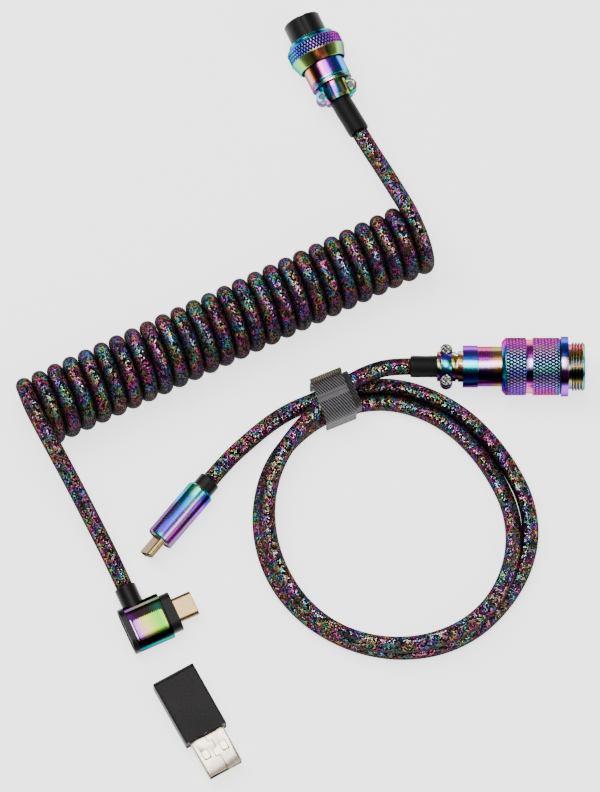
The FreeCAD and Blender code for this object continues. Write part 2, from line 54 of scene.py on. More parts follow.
# ---------------- where the connectors lie (mm, degrees)
ROUND_PLUG = ((-15.46, 125.68), 9.4, 115.1)
RECEPTACLE = ((76.7, 7.8), 9.8, 0.0)
ANGLED_PLUG = ((-64.9, -76.6), 4.5, 24.3)
STRAIGHT_PLUG = ((-61.6, -48.9), 4.6, -129.6)
ADAPTER = ((-51.6, -104.0), 4.0, -61.0)
TIE = ((-5.27, -2.35), 0.0, 22.5)
PLUG_ROLL = 62.0

CORD_D = 5.5
KNURL_ROWS = 52
KNURL_PITCH = 2.09                # along the axis
LOOP_CENTRE = (14.2, -42.3)
COIL_TURNS = 25
COIL_PITCH = 5.54
COIL_R = 9.45
COIL_CENTRE = (-40.2, 21.0)
COIL_HEADING = 25.6
COIL_HEIGHT = 12.2
LEAF_X = 15.7                     # rear edge of the windows in the USB-A shell


def frame_of(spot, roll=0.0):
    """Matrix from a connector's own millimetre frame to the scene."""
    at, height, heading = spot
    place = Matrix.Translation((at[0] * MM, at[1] * MM, height * MM))
    turn = Matrix.Rotation(math.radians(heading), 4, "Z") @ Matrix.Rotation(math.radians(roll), 4, "X")
    return place @ turn @ Matrix.Scale(MM, 4)


# ---------------- materials
class Nodes:
    """Short way to write a node tree: every call adds one node and links its inputs."""

    def __init__(self, name):
        self.material = bpy.data.materials.new(name)
        self.material.use_nodes = True
        self.tree = self.material.node_tree
        self.shader = self.tree.nodes["Principled BSDF"]

    def add(self, kind, *inputs, **settings):
        node = self.tree.nodes.new(kind)
        for key, value in settings.items():
            setattr(node, key, value)
        for i, value in enumerate(inputs):
            if value is not None:
                self.feed(node.inputs[i], value)
        return node

    def feed(self, socket, value):
        if isinstance(value, bpy.types.NodeSocket):
            self.tree.links.new(value, socket)
        elif isinstance(value, bpy.types.Node):
            self.tree.links.new(value.outputs[0], socket)
        else:
            socket.default_value = value

    def math(self, operation, *inputs):
        return self.add("ShaderNodeMath", *inputs, operation=operation).outputs[0]

    def plus(self, a, b):
        return self.math("ADD", a, b)

    def minus(self, a, b):
        return self.math("SUBTRACT", a, b)

    def times(self, a, b):
        return self.math("MULTIPLY", a, b)

    def flip(self, value):
        """1 minus the value."""
        return self.minus(1.0, value)

    def size(self, value):
        return self.math("ABSOLUTE", value)

    def parts(self, vector):
        """The x, y and z of a vector."""
        return tuple(self.add("ShaderNodeSeparateXYZ", vector).outputs)

    def uv(self):
        """The two coordinates that the cords and the strap carry."""
        return self.parts(self.add("ShaderNodeUVMap", uv_map="along"))[:2]

    def place(self):
        return self.add("ShaderNodeTexCoord").outputs["Object"]

    def stretched(self, vector, factors):
        return self.add("ShaderNodeVectorMath", vector, factors, operation="MULTIPLY")

    def diamonds(self, around, along):
        """Cells between slanted lines: the two sums, the places within a cell, the distance to a line."""
        sums = (self.plus(around, along), self.minus(around, along))
        within = [self.math("FRACT", total) for total in sums]
        edges = [self.math("MINIMUM", part, self.flip(part)) for part in within]
        return sums, within, self.math("MINIMUM", *edges)

    def mix(self, factor, a, b, blend="MIX"):
        node = self.add("ShaderNodeMix", data_type="RGBA", blend_type=blend)
        self.feed(node.inputs[0], factor)
        self.feed(node.inputs[6], a)
        self.feed(node.inputs[7], b)
        return node.outputs[2]

    def ramp(self, factor, stops):
        node = self.add("ShaderNodeValToRGB", factor)
        ramp = node.color_ramp
        while len(ramp.elements) < len(stops):
            ramp.elements.new(0.5)
        for element, (position, colour) in zip(ramp.elements, stops):
            element.position = position
            element.color = (*colour, 1.0)
        return node.outputs[0]

    def steps(self, value, low, high):
        """0 below low, 1 above high, smooth between."""
        node = self.add("ShaderNodeMapRange", value, low, high, 0.0, 1.0, interpolation_type="SMOOTHSTEP")
        return node.outputs[0]

    def noise(self, vector, scale, detail=2.0, roughness=0.5):
        node = self.add("ShaderNodeTexNoise", vector)
        node.inputs["Scale"].default_value = scale
        node.inputs["Detail"].default_value = detail
        node.inputs["Roughness"].default_value = roughness
        return node.outputs[0]

    def local(self, spot):
        """Position in a connector's own frame, in millimetres."""
        (x, y), z, heading = spot
        moved = self.add("ShaderNodeMapping", self.place(), vector_type="TEXTURE")
        moved.inputs["Location"].default_value = (x * MM, y * MM, z * MM)
        moved.inputs["Rotation"].default_value = (0, 0, math.radians(heading))
        moved.inputs["Scale"].default_value = (MM, MM, MM)
        return moved.outputs[0]

    def bump(self, height, strength, distance):
        node = self.add("ShaderNodeBump")
        node.inputs["Strength"].default_value = strength
        node.inputs["Distance"].default_value = distance
        self.feed(node.inputs["Height"], height)
        self.feed(self.shader.inputs["Normal"], node)

    def finish(self, colour, metallic, roughness, **others):
        self.feed(self.shader.inputs["Base Color"], colour)
        self.feed(self.shader.inputs["Metallic"], metallic)
        self.feed(self.shader.inputs["Roughness"], roughness)
        for name, value in others.items():
            self.feed(self.shader.inputs[name.replace("_", " ")], value)
        return self.material


INK = (0.006, 0.004, 0.010)
NAVY = (0.006, 0.012, 0.090)
INDIGO = (0.040, 0.030, 0.360)
BLUE = (0.050, 0.120, 0.800)
SKY = (0.090, 0.380, 0.850)
CYAN = (0.040, 0.760, 0.900)
TEAL = (0.006, 0.240, 0.280)
SEA = (0.030, 0.480, 0.360)
GREEN = (0.200, 0.560, 0.130)
LIME = (0.480, 0.720, 0.170)
MOSS = (0.040, 0.060, 0.015)
OLIVE = (0.360, 0.330, 0.090)
GOLD_FILM = (0.720, 0.440, 0.090)
STRAW = (0.850, 0.740, 0.420)
PEACH = (0.880, 0.420, 0.270)
COPPER = (0.360, 0.110, 0.040)
BROWN = (0.090, 0.025, 0.012)
ROSE = (0.640, 0.110, 0.260)
PINK = (0.900, 0.250, 0.620)
MAGENTA = (0.600, 0.030, 0.560)
PLUM = (0.110, 0.008, 0.120)
VIOLET = (0.300, 0.060, 0.760)
LILAC = (0.880, 0.560, 0.960)
MAUVE = (0.230, 0.120, 0.300)
SMOKE = (0.200, 0.210, 0.230)
DEEP_TEAL = (0.006, 0.130, 0.230)
ROYAL = (0.020, 0.055, 0.300)
DUSK = (0.050, 0.024, 0.300)


def braid_material():
    """Black net over metallic threads of many colours; UV is (mm along, turns around)."""
    n = Nodes("braid")
    around_count = 26.0
    cell = 0.68
    along, around = n.uv()
    sums, within, edge = n.diamonds(n.times(around, around_count), n.math("DIVIDE", along, cell))
    cell_id = n.add("ShaderNodeCombineXYZ", n.math("FLOOR", sums[0]), n.math("FLOOR", sums[1]), 0.0)
    chance = n.add("ShaderNodeTexWhiteNoise", cell_id, noise_dimensions="3D")
    pick = n.parts(chance.outputs["Color"])
    # patches a few millimetres long where one colour prevails
    spin = n.times(around, TAU)
    sine = n.times(n.math("SINE", spin), 0.7)
    cosine = n.times(n.math("COSINE", spin), 0.7)
    spot = n.add("ShaderNodeCombineXYZ", n.times(along, 0.27), sine, cosine)
    patch = n.noise(spot.outputs[0], 1.0, 0.0)
    elsewhere = n.add("ShaderNodeVectorMath", spot, (5.0, 5.0, 5.0), operation="ADD")
    glow = n.noise(elsewhere.outputs[0], 1.3, 1.0)
    drift = n.plus(n.times(patch, 1.7), n.times(along, 0.085))
    hue = n.math("FRACT", n.plus(drift, n.times(pick[0], 0.09)))
    thread = n.ramp(hue, [
        (0.0, (0.95, 0.03, 0.30)), (0.12, (1.0, 0.26, 0.10)), (0.24, (1.0, 0.66, 0.12)),
        (0.36, (0.14, 0.70, 0.24)), (0.48, (0.01, 0.70, 0.66)), (0.60, (0.03, 0.28, 0.95)),
        (0.72, (0.36, 0.06, 0.80)), (0.84, (0.98, 0.06, 0.66)), (1.0, (0.95, 0.03, 0.30)),
    ])
    # painted highlight: the threads are painted brighter, with whitish glints, where the cord faces up, and
    # dark on its flanks
    facing_up_for_painted_light = n.parts(n.add("ShaderNodeNewGeometry").outputs["Normal"])[2]
    patches_and_painted_top_light = n.times(n.steps(glow, 0.30, 0.54), n.steps(facing_up_for_painted_light, 0.40, 0.88))
    # strength carries the random colour patches and the painted top light
    strength = n.plus(0.10, n.times(patches_and_painted_top_light, 0.90))
    shine_with_painted_top_light = n.times(n.steps(pick[1], 0.15, 0.80), strength)
    # painted glints: whitish threads where the cord faces up
    painted_top_glints = n.times(n.steps(pick[2], 0.45, 0.70), n.steps(facing_up_for_painted_light, 0.60, 0.98))
    thread = n.mix(painted_top_glints, thread, (1.0, 0.94, 0.92, 1.0))
    dull = n.mix(pick[1], (0.014, 0.010, 0.012, 1.0), (0.150, 0.110, 0.116, 1.0))
    thread = n.mix(shine_with_painted_top_light, dull, thread)
    net = n.flip(n.steps(edge, 0.12, 0.21))
    colour = n.mix(net, thread, (0.004, 0.004, 0.005, 1.0))
    tilt_a = n.times(within[0], n.minus(pick[1], 0.5))
    tilt_b = n.times(within[1], n.minus(pick[2], 0.5))
    height = n.plus(n.times(net, 0.5), n.times(n.plus(tilt_a, tilt_b), 1.3))
    n.bump(height, 1.0, 0.00024)
    roughness = n.plus(0.30, n.times(net, 0.38))
    tint = (0.10, 0.10, 0.10, 1.0)
    return n.finish(colour, n.flip(net), roughness, Specular_IOR_Level=0.15, Specular_Tint=tint)


def spread(colours):
    """Ramp stops for colours at even distances."""
    return [(i / (len(colours) - 1), colour) for i, colour in enumerate(colours)]


def film_with_painted_reflections(name, spot, zones, knurls=(), roughness=0.20, tip_highlight=0.5):
    """Rainbow-anodised metal in a connector's own frame, with painted highlights and painted dark
    reflection bands.

    zones run from the rear end forwards, each an (x where it starts, width of the change, colours)
    triple; the colours go from one side of the cylinder over its top to the other side, and hold the
    anodised colours together with a painted highlight and painted dark reflection bands.  knurls holds
    the (x0, x1, rows) of each diamond-cut band, tip_highlight how much lighter the diamonds' tips are
    painted near the top.
    """
    n = Nodes(name)
    place = n.local(spot)
    x, y, z = n.parts(place)
    turn = n.math("ARCTAN2", z, y)
    # the bands are turned by the 15 degree tilt of the camera's view, so the painted highlight and shade
    # bands sit where the lights' reflections fall
    lean = math.radians(15 * math.cos(math.radians(spot[2])))
    side = n.math("COSINE", n.minus(turn, lean))
    waver = n.times(n.minus(n.noise(place, 0.16, 2.0), 0.5), 0.05)
    across = n.plus(n.plus(n.times(side, 0.5), 0.5), waver)
    colour = n.ramp(across, spread(zones[0][2]))
    for x0, change, colours in zones[1:]:
        reached = n.steps(x, x0 - change / 2, x0 + change / 2)
        colour = n.mix(reached, colour, n.ramp(across, spread(colours)))
    grain = n.noise(n.stretched(place, (0.6, 9.0, 9.0)), 1.6, 4.0)
    height = n.times(grain, 0.05)
    matt = roughness
    # where the cylinder faces up the knurls get the strongest painted shade and painted highlight
    top_band_for_painted_light = n.flip(n.steps(n.size(side), 0.50, 0.90))
    for x0, x1, rows in knurls:
        inside = n.times(n.math("GREATER_THAN", x, x0), n.math("LESS_THAN", x, x1))
        around = n.times(turn, rows / TAU)
        _, within, edge = n.diamonds(around, n.math("DIVIDE", x, KNURL_PITCH))
        # painted light in each diamond: shade painted into the hollows between diamonds, one half of each
        # diamond tinted blue as a painted reflection, its tip made lighter as a painted highlight
        peak = n.steps(edge, 0.10, 0.30)
        painted_groove_shade = n.times(inside, n.flip(peak))
        painted_facet_reflection = n.times(inside, n.steps(n.minus(*within), 0.0, 0.5))
        tip = n.times(inside, n.steps(edge, 0.24, 0.34))
        colour = n.mix(n.times(painted_facet_reflection, 0.15), colour, (*BLUE, 1.0))
        depth = n.plus(0.55, n.times(top_band_for_painted_light, 0.42))
        colour = n.mix(n.times(painted_groove_shade, depth), colour, (*INK, 1.0))
        tip_highlight_strength = n.plus(0.05, n.times(top_band_for_painted_light, tip_highlight))
        colour = n.mix(n.times(tip, tip_highlight_strength), colour, (0.92, 0.80, 1.0, 1.0))
        height = n.plus(height, n.times(peak, inside))
        matt = n.plus(matt, n.times(inside, 0.10))
    n.bump(height, 0.5, 0.0001)
    rough = n.plus(matt, n.times(grain, 0.09))
    return n.finish(colour, 1.0, rough, Specular_Tint=(0.30, 0.26, 0.36, 1.0))


def plain(name, colour, metallic, roughness, scale, variation, relief):
    """Moulded, plated or rubber surface with fine grain, colour drift and uneven gloss."""
    n = Nodes(name)
    unevenness = 0.08
    place = n.place()
    fine = n.noise(place, scale, 5.0, 0.65)
    wide = n.noise(place, scale * 0.04, 2.0)
    dark = tuple(c * (1 - variation) for c in colour)
    light = tuple(min(1.0, c * (1 + variation)) for c in colour)
    tone = n.ramp(n.plus(n.times(fine, 0.5), n.times(wide, 0.5)), [(0.3, dark), (0.7, light)])
    n.bump(fine, relief, 0.00008)
    rough = n.plus(roughness - unevenness / 2, n.times(wide, unevenness))
    return n.finish(tone, metallic, rough, Specular_IOR_Level=0.22, Specular_Tint=(0.6, 0.6, 0.6, 1.0))


def angled_sleeve_material():
    """Polished sleeve of the angled plug: a bright field of painted softbox reflection in a painted dark
    reflection frame, a painted highlight line on the far edge, and teal long sides.
    """
    n = Nodes("angled_sleeve")
    place = n.local(ANGLED_PLUG)
    x, y, _ = n.parts(place)
    length = 12.2
    drift = n.times(n.minus(n.noise(place, 0.25, 2.0), 0.5), 0.14)
    along = n.plus(n.math("DIVIDE", n.plus(x, length / 2), length), drift)
    # painted reflection of a softbox on the flat top, its colours changing from rear to front
    painted_panel_reflection = n.ramp(along, [
        (0.05, (0.100, 0.016, 0.30)), (0.14, (0.24, 0.06, 0.30)), (0.27, (0.30, 0.17, 0.13)),
        (0.42, (0.26, 0.25, 0.045)), (0.62, (0.13, 0.27, 0.014)), (0.80, (0.040, 0.26, 0.012)),
        (0.93, (0.24, 0.26, 0.035)),
    ])
    # painted dark reflection framing the softbox reflection
    painted_dark_frame = n.ramp(along, [
        (0.03, (0.020, 0.002, 0.034)), (0.20, (0.008, 0.003, 0.006)), (0.60, (0.006, 0.005, 0.003)),
        (0.85, (0.003, 0.020, 0.014)), (0.97, (0.005, 0.007, 0.003)),
    ])
    # colours of the painted highlight line along the far edge
    painted_edge_highlight_colour = n.ramp(along, [
        (0.05, (0.46, 0.16, 0.62)), (0.35, (0.50, 0.38, 0.36)), (0.70, (0.52, 0.54, 0.34)),
        (0.95, (0.30, 0.46, 0.20)),
    ])
    near_edge = n.ramp(along, [
        (0.1, (0.01, 0.16, 0.18)), (0.5, (0.01, 0.26, 0.27)), (0.95, (0.02, 0.30, 0.22)),
    ])
    comb = n.times(n.size(n.math("SINE", n.times(x, 5.0))), 0.5)
    combed = n.plus(y, n.times(comb, n.steps(y, 0.0, 1.0)))
    # rounded field of painted softbox reflection, as the distance outside it: 10.2 long, 7.2 wide
    over_x = n.math("MAXIMUM", n.minus(n.size(n.minus(x, 0.1)), 4.4), 0.0)
    over_y = n.math("MAXIMUM", n.minus(n.size(n.plus(combed, 1.7)), 2.9), 0.0)
    outside = n.math("SQRT", n.plus(n.math("POWER", over_x, 2.0), n.math("POWER", over_y, 2.0)))
    colour = n.mix(n.steps(outside, 0.65, 0.80), painted_panel_reflection, painted_dark_frame)
    rear_line = n.minus(n.steps(x, -5.75, -5.65), n.steps(x, -5.45, -5.35))
    flat = n.minus(n.steps(y, -5.3, -5.0), n.steps(y, 1.8, 2.4))
    colour = n.mix(n.times(rear_line, flat), colour, (0.42, 0.34, 0.50, 1.0))
    # painted highlight line along the far edge
    painted_edge_highlight = n.times(n.steps(y, 5.0, 5.3), n.flip(n.steps(y, 5.9, 6.2)))
    colour = n.mix(painted_edge_highlight, colour, painted_edge_highlight_colour)
    colour = n.mix(n.flip(n.steps(y, -7.2, -6.9)), colour, near_edge)
    grain = n.noise(n.stretched(place, (9.0, 0.8, 9.0)), 1.5, 3.0)
    tone = n.ramp(grain, [(0.3, (0.82, 0.82, 0.82)), (0.7, (1.0, 1.0, 1.0))])
    colour = n.mix(1.0, colour, tone, "MULTIPLY")
    n.bump(grain, 0.04, 0.00003)
    rough = n.plus(0.20, n.times(grain, 0.10))
    metallic = n.flip(n.times(painted_edge_highlight, 0.7))
    return n.finish(colour, metallic, rough, Specular_Tint=(0.3, 0.3, 0.3, 1.0))


def strap_material():
    """Woven strap; UV is (mm across the strap, mm along it)."""
    n = Nodes("strap_weave")
    across, along = n.uv()
    inner = n.math("GREATER_THAN", across, 5.32)
    lean = n.minus(2.3, n.times(inner, 4.6))
    slant = n.plus(along, n.times(across, lean))
    rib = n.size(n.math("SINE", n.times(slant, 1.60)))
    cross = n.size(n.math("SINE", n.times(across, 7.5)))
    weave = n.plus(n.times(rib, 0.8), n.times(cross, 0.2))
    smooth = n.times(n.steps(along, 18.4, 18.8), n.flip(n.steps(along, 20.4, 20.8)))
    weave = n.mix(smooth, weave, n.plus(0.74, n.times(cross, 0.12)))
    speckle = n.noise(n.place(), 2600.0, 2.0)
    tone = n.plus(n.times(weave, 0.85), n.times(speckle, 0.25))
    colour = n.ramp(tone, [
        (0.34, (0.001, 0.001, 0.002)), (0.60, (0.014, 0.013, 0.015)), (0.92, (0.165, 0.158, 0.165)),
    ])
    colour = n.mix(n.times(inner, 0.72), colour, (0.006, 0.005, 0.005, 1.0))
    n.bump(tone, 1.0, 0.0003)
    return n.finish(colour, 0.0, 0.62, Sheen_Weight=0.08, Specular_IOR_Level=0.2)


def seamed_material():
    """Plated sheet folded to a shell; the stepped seam of its two edges runs along the middle."""
    n = Nodes("folded_shell")
    place = n.local(ADAPTER)
    x, y, _ = n.parts(place)
    line = 0.0
    reach = 0.75
    half_width = 0.12
    steps = (11.0, 13.6, 16.4, 19.2, 24.5)
    for i, (x0, x1) in enumerate(zip(steps, steps[1:])):
        side = reach if i % 2 else -reach
        inside = n.times(n.math("GREATER_THAN", x, x0), n.math("LESS_THAN", x, x1))
        near = n.math("LESS_THAN", n.size(n.minus(y, side)), half_width)
        line = n.math("MAXIMUM", line, n.times(inside, near))
        across = n.math("LESS_THAN", n.size(n.minus(x, x0)), half_width)
        short = n.math("LESS_THAN", n.size(y), reach)
        line = n.math("MAXIMUM", line, n.times(across, short))
    fine = n.noise(place, 0.7, 4.0, 0.6)
    tone = n.ramp(fine, [(0.3, (0.52, 0.43, 0.33)), (0.7, (0.64, 0.54, 0.43))])
    colour = n.mix(n.times(line, 0.85), tone, (0.05, 0.04, 0.03, 1.0))
    n.bump(n.minus(n.times(fine, 0.1), line), 0.5, 0.00008)
    rough = n.plus(0.20, n.times(fine, 0.10))
    return n.finish(colour, 1.0, rough)


def hem_material():
    """Rolled and stitched hem; UV is (mm across the strap, mm around the roll)."""
    n = Nodes("tie_hem")
    across, _ = n.uv()
    stitch = n.size(n.math("SINE", n.times(across, 4.2)))
    fibre = n.noise(n.place(), 2600.0, 4.0, 0.7)
    tone = n.plus(n.times(stitch, 0.35), n.times(fibre, 0.75))
    warm = n.ramp(tone, [
        (0.30, (0.018, 0.012, 0.008)), (0.60, (0.100, 0.078, 0.056)), (0.90, (0.30, 0.25, 0.20)),
    ])
    olive = n.ramp(tone, [
        (0.30, (0.010, 0.011, 0.005)), (0.60, (0.065, 0.068, 0.034)), (0.90, (0.20, 0.20, 0.12)),
    ])
    colour = n.mix(n.steps(across, 0.5, 4.5), warm, olive)
    n.bump(tone, 1.0, 0.0002)
    return n.finish(colour, 0.0, 0.8, Specular_IOR_Level=0.2)


def ground_material():
    n = Nodes("floor")
    tone = n.ramp(n.noise(n.place(), 3.0, 2.0), [(0.3, (0.93, 0.93, 0.93)), (0.7, (0.96, 0.96, 0.96))])
    n.shader.inputs["Emission Color"].default_value = (1.0, 1.0, 1.0, 1.0)
    n.shader.inputs["Emission Strength"].default_value = 1.9
    return n.finish(tone, 0.0, 0.75)


BRAID = braid_material()
STRAP = strap_material()
ANGLED_SLEEVE = angled_sleeve_material()
# Each colour list mixes the anodised colours with painted light: a painted highlight near the middle and
# painted dark reflection bands beside it.
SLEEVE = film_with_painted_reflections("straight_sleeve", STRAIGHT_PLUG, [
    (-30.0, 0.1, (SEA, SEA, SEA, MOSS, LIME, LIME, SEA, CYAN, TEAL, TEAL, NAVY, TEAL, SMOKE)),
    (-20.6, 0.8, (TEAL, SEA, SEA, MOSS, SEA, SEA, TEAL, CYAN, NAVY, INDIGO, NAVY, INDIGO, SMOKE)),
    (-17.6, 3.0, (
        SKY, SKY, TEAL, NAVY, DEEP_TEAL, DEEP_TEAL, TEAL, LILAC, NAVY, VIOLET, PLUM, VIOLET, SMOKE)),
    (-12.5, 4.0, (MAUVE, MAUVE, MAUVE, NAVY, ROYAL, ROYAL, INDIGO, LILAC, PLUM, MAUVE, PLUM, MAUVE, SMOKE)),
    (-6.0, 6.0, (MAUVE, MAUVE, MAUVE, INDIGO, DUSK, DUSK, DUSK, LILAC, PLUM, MAGENTA, PLUM, MAUVE, SMOKE)),
    (-1.2, 1.4, (MAUVE, MAUVE, MAUVE, NAVY, DEEP_TEAL, TEAL, TEAL, LILAC, INDIGO, MAUVE, PLUM, MAUVE, SMOKE)),
])
RING = film_with_painted_reflections("coupling_ring_metal", ROUND_PLUG, [
    (-30.0, 0.1, (SMOKE, GREEN, LIME, MOSS, BROWN, COPPER, MOSS, OLIVE, LIME, GREEN, SEA)),
    (-13.1, 0.2, (SEA, GREEN, LIME, GOLD_FILM, STRAW, GOLD_FILM, LIME, LIME, GREEN, SEA, SEA)),
    (-12.75, 0.2, (MAUVE, MAGENTA, VIOLET, VIOLET, INDIGO, VIOLET, INDIGO, BLUE, BLUE, SKY, TEAL)),
    (-8.6, 0.4, (TEAL, TEAL, TEAL, NAVY, TEAL, SEA, TEAL, NAVY, TEAL, TEAL, SEA)),
    (-7.7, 0.2, (SEA, SEA, TEAL, NAVY, SEA, SEA, CYAN, TEAL, NAVY, SEA, SEA)),
], knurls=((-12.75, -8.8, KNURL_ROWS),), tip_highlight=0.22)
BARREL = film_with_painted_reflections("round_plug_metal", ROUND_PLUG, [
    (-60.0, 0.1, (SEA, MOSS, LIME, OLIVE, STRAW, GREEN, SKY, TEAL, STRAW, PLUM, NAVY, PINK, SMOKE)),
    (-28.7, 0.2, (SMOKE, OLIVE, MOSS, STRAW, TEAL, SKY, VIOLET, VIOLET, SKY, TEAL, NAVY, TEAL, MAUVE)),
    (-25.2, 0.2, (SMOKE, OLIVE, MOSS, GREEN, TEAL, ROSE, PINK, PINK, VIOLET, NAVY, TEAL, TEAL, MAUVE)),
    (-23.9, 0.1, (SEA, SMOKE, MAUVE, MOSS, LIME, STRAW, STRAW, PEACH, GREEN, TEAL, TEAL, MAUVE, MAUVE)),
    (-23.1, 0.2, (TEAL, SEA, TEAL, TEAL, TEAL, TEAL, CYAN, LILAC, CYAN, NAVY, PLUM, MAUVE, ROSE)),
    (-21.8, 0.6, (SKY, SKY, BLUE, BLUE, VIOLET, VIOLET, MAGENTA, PINK, PLUM, BROWN, COPPER, PEACH, MAUVE)),
    (-15.6, 0.2, (
        SMOKE, MOSS, PLUM, MAGENTA, ROSE, COPPER, GOLD_FILM, STRAW, GOLD_FILM, COPPER, BROWN, MOSS, SMOKE)),
])
SHELL = film_with_painted_reflections("receptacle_metal", RECEPTACLE, [
    (-60.0, 0.1, (MAUVE, PLUM, INDIGO, NAVY, TEAL, TEAL, CYAN, SEA, SKY, SKY, VIOLET, MAGENTA, COPPER)),
    (-24.9, 0.8, (
        MAUVE, VIOLET, VIOLET, MAUVE, INDIGO, BLUE, SKY, CYAN, BLUE, LILAC, MAGENTA, MAGENTA, COPPER)),
    (-19.2, 0.1, (PEACH, ROSE, MAGENTA, PLUM, INK, NAVY, LILAC, LILAC, PLUM, MAGENTA, MAGENTA, ROSE, PEACH)),
    (-17.0, 0.1, (ROSE, MAGENTA, VIOLET, MAUVE, INDIGO, SEA, CYAN, SKY, VIOLET, LILAC, PINK, MAGENTA, ROSE)),
    (-9.3, 0.8, (MAUVE, SKY, TEAL, INDIGO, NAVY, TEAL, SEA, CYAN, TEAL, SKY, SKY, VIOLET, MAUVE)),
    (-7.9, 0.1, (MAUVE, VIOLET, VIOLET, INK, PLUM, PLUM, LILAC, LILAC, NAVY, INDIGO, BLUE, BLUE, MAUVE)),
    (-5.4, 0.1, (SMOKE, SMOKE, OLIVE, MOSS, INK, MOSS, STRAW, SMOKE, MOSS, OLIVE, PEACH, ROSE, OLIVE)),
    (-0.6, 0.4, (SMOKE, SEA, TEAL, TEAL, INK, TEAL, SEA, SEA, TEAL, SEA, OLIVE, SEA, SMOKE)),
], knurls=((-25.7, -19.3, KNURL_ROWS), (-16.9, -8.4, KNURL_ROWS)))
BACK_SHELL = film_with_painted_reflections("back_shell_metal", RECEPTACLE, [
    (-60.0, 0.1, (SMOKE, INK, PLUM, MOSS, INK, MOSS, STRAW, PEACH, MOSS, GOLD_FILM, VIOLET, ROSE, GOLD_FILM)),
    (-46.9, 0.1, (INK, INK, INK, INDIGO, NAVY, TEAL, CYAN, SEA, TEAL, BLUE, VIOLET, INDIGO, SMOKE)),
    (-43.4, 0.1, (INK, INK, PLUM, MOSS, INK, MOSS, STRAW, LIME, MOSS, GOLD_FILM, GREEN, STRAW, MAUVE)),
    (-41.9, 0.1, (
        INK, INK, BROWN, INK, BROWN, COPPER, PEACH, PEACH, COPPER, GOLD_FILM, GOLD_FILM, STRAW, OLIVE)),
    (-39.7, 0.1, (MAUVE, NAVY, NAVY, NAVY, NAVY, TEAL, CYAN, CYAN, NAVY, BLUE, VIOLET, VIOLET, COPPER)),
    (-34.8, 0.1, (MAUVE, PLUM, INK, INK, NAVY, PLUM, LILAC, LILAC, PLUM, MAGENTA, MAGENTA, ROSE, COPPER)),
    (-30.0, 4.0, (
        OLIVE, BROWN, INK, INK, BROWN, COPPER, PEACH, STRAW, COPPER, GOLD_FILM, GOLD_FILM, OLIVE, OLIVE)),
])
GOLD = plain("gold_plate", (0.25, 0.168, 0.078), 1.0, 0.26, 900.0, 0.30, 0.06)
BLACK = plain("black_plastic", (0.0150, 0.0130, 0.0136), 0.0, 0.52, 1500.0, 0.85, 0.5)
GLOSS = plain("black_cap", (0.006, 0.006, 0.006), 0.0, 0.34, 5000.0, 0.3, 0.12)
RUBBER = plain("heat_shrink", (0.0048, 0.0048, 0.005), 0.0, 0.55, 2500.0, 0.4, 0.25)
MOULDED = plain("moulded_black", (0.0068, 0.0062, 0.0062), 0.0, 0.42, 3500.0, 0.35, 0.15)
STEEL = plain("screw_steel", (0.34, 0.33, 0.32), 1.0, 0.24, 1500.0, 0.2, 0.05)
SILVER = plain("nickel_plate", (0.52, 0.48, 0.43), 1.0, 0.24, 700.0, 0.12, 0.05)
SEAMED = seamed_material()
DARK_STEEL = plain("screw_tip", (0.05, 0.07, 0.08), 1.0, 0.34, 1500.0, 0.3, 0.1)
HEM = hem_material()
BOARD = plain("solder_mask", (0.02, 0.16, 0.07), 0.0, 0.30, 1200.0, 0.3, 0.1)
FLOOR = ground_material()


# ---------------- mesh tools
def mesh_object(name, vertices, faces, material, uvs=None, matrix=None, smooth=True, even=False):
    mesh = bpy.data.meshes.new(name)
    if matrix is not None:
        vertices = [matrix @ Vector(v) for v in vertices]
    mesh.from_pydata([tuple(v) for v in vertices], [], faces)
    if uvs is not None:
        layer = mesh.uv_layers.new(name="along")
        for corner, uv in zip(layer.data, uvs):
            corner.uv = uv
    mesh.validate()
    if smooth:
        for polygon in mesh.polygons:
            polygon.use_smooth = True
    mesh.materials.append(material)
    piece = bpy.data.objects.new(name, mesh)
    bpy.context.scene.collection.objects.link(piece)
    if even:
        weigh = piece.modifiers.new("normals", "WEIGHTED_NORMAL")
        weigh.weight = 80
    return piece


def quads(rings, around, wrap=False, first=0):
    """Faces between neighbouring rings of points, the last also with the first if wrap is set."""
    faces = []
    for i in range(rings if wrap else rings - 1):
        a = first + i * around
        b = first + (i + 1) % rings * around
        for j in range(around):
            k = (j + 1) % around
            faces.append((a + j, a + k, b + k, b + j))
    return faces


def lids(rings, around):
    """The two faces that close a tube's ends."""
    last = (rings - 1) * around
    return [tuple(range(around))[::-1], tuple(range(last, last + around))]


def rounded_outline(points, radius, closed=True, steps=3):
    """Replace each corner of an (x, r) outline by a small arc."""
    result = []
    count = len(points)
    for i, point in enumerate(points):
        here = Vector(point)
        if not closed and i in (0, count - 1):
            result.append(here)
            continue
        before = Vector(points[i - 1])
        after = Vector(points[(i + 1) % count])
        to_before = before - here
        to_after = after - here
        cut = min(radius, 0.45 * to_before.length, 0.45 * to_after.length)
        start = here + to_before.normalized() * cut
        end = here + to_after.normalized() * cut
        for k in range(steps + 1):
            t = k / steps
            result.append(start * (1 - t) ** 2 + here * 2 * t * (1 - t) + end * t ** 2)
    return result


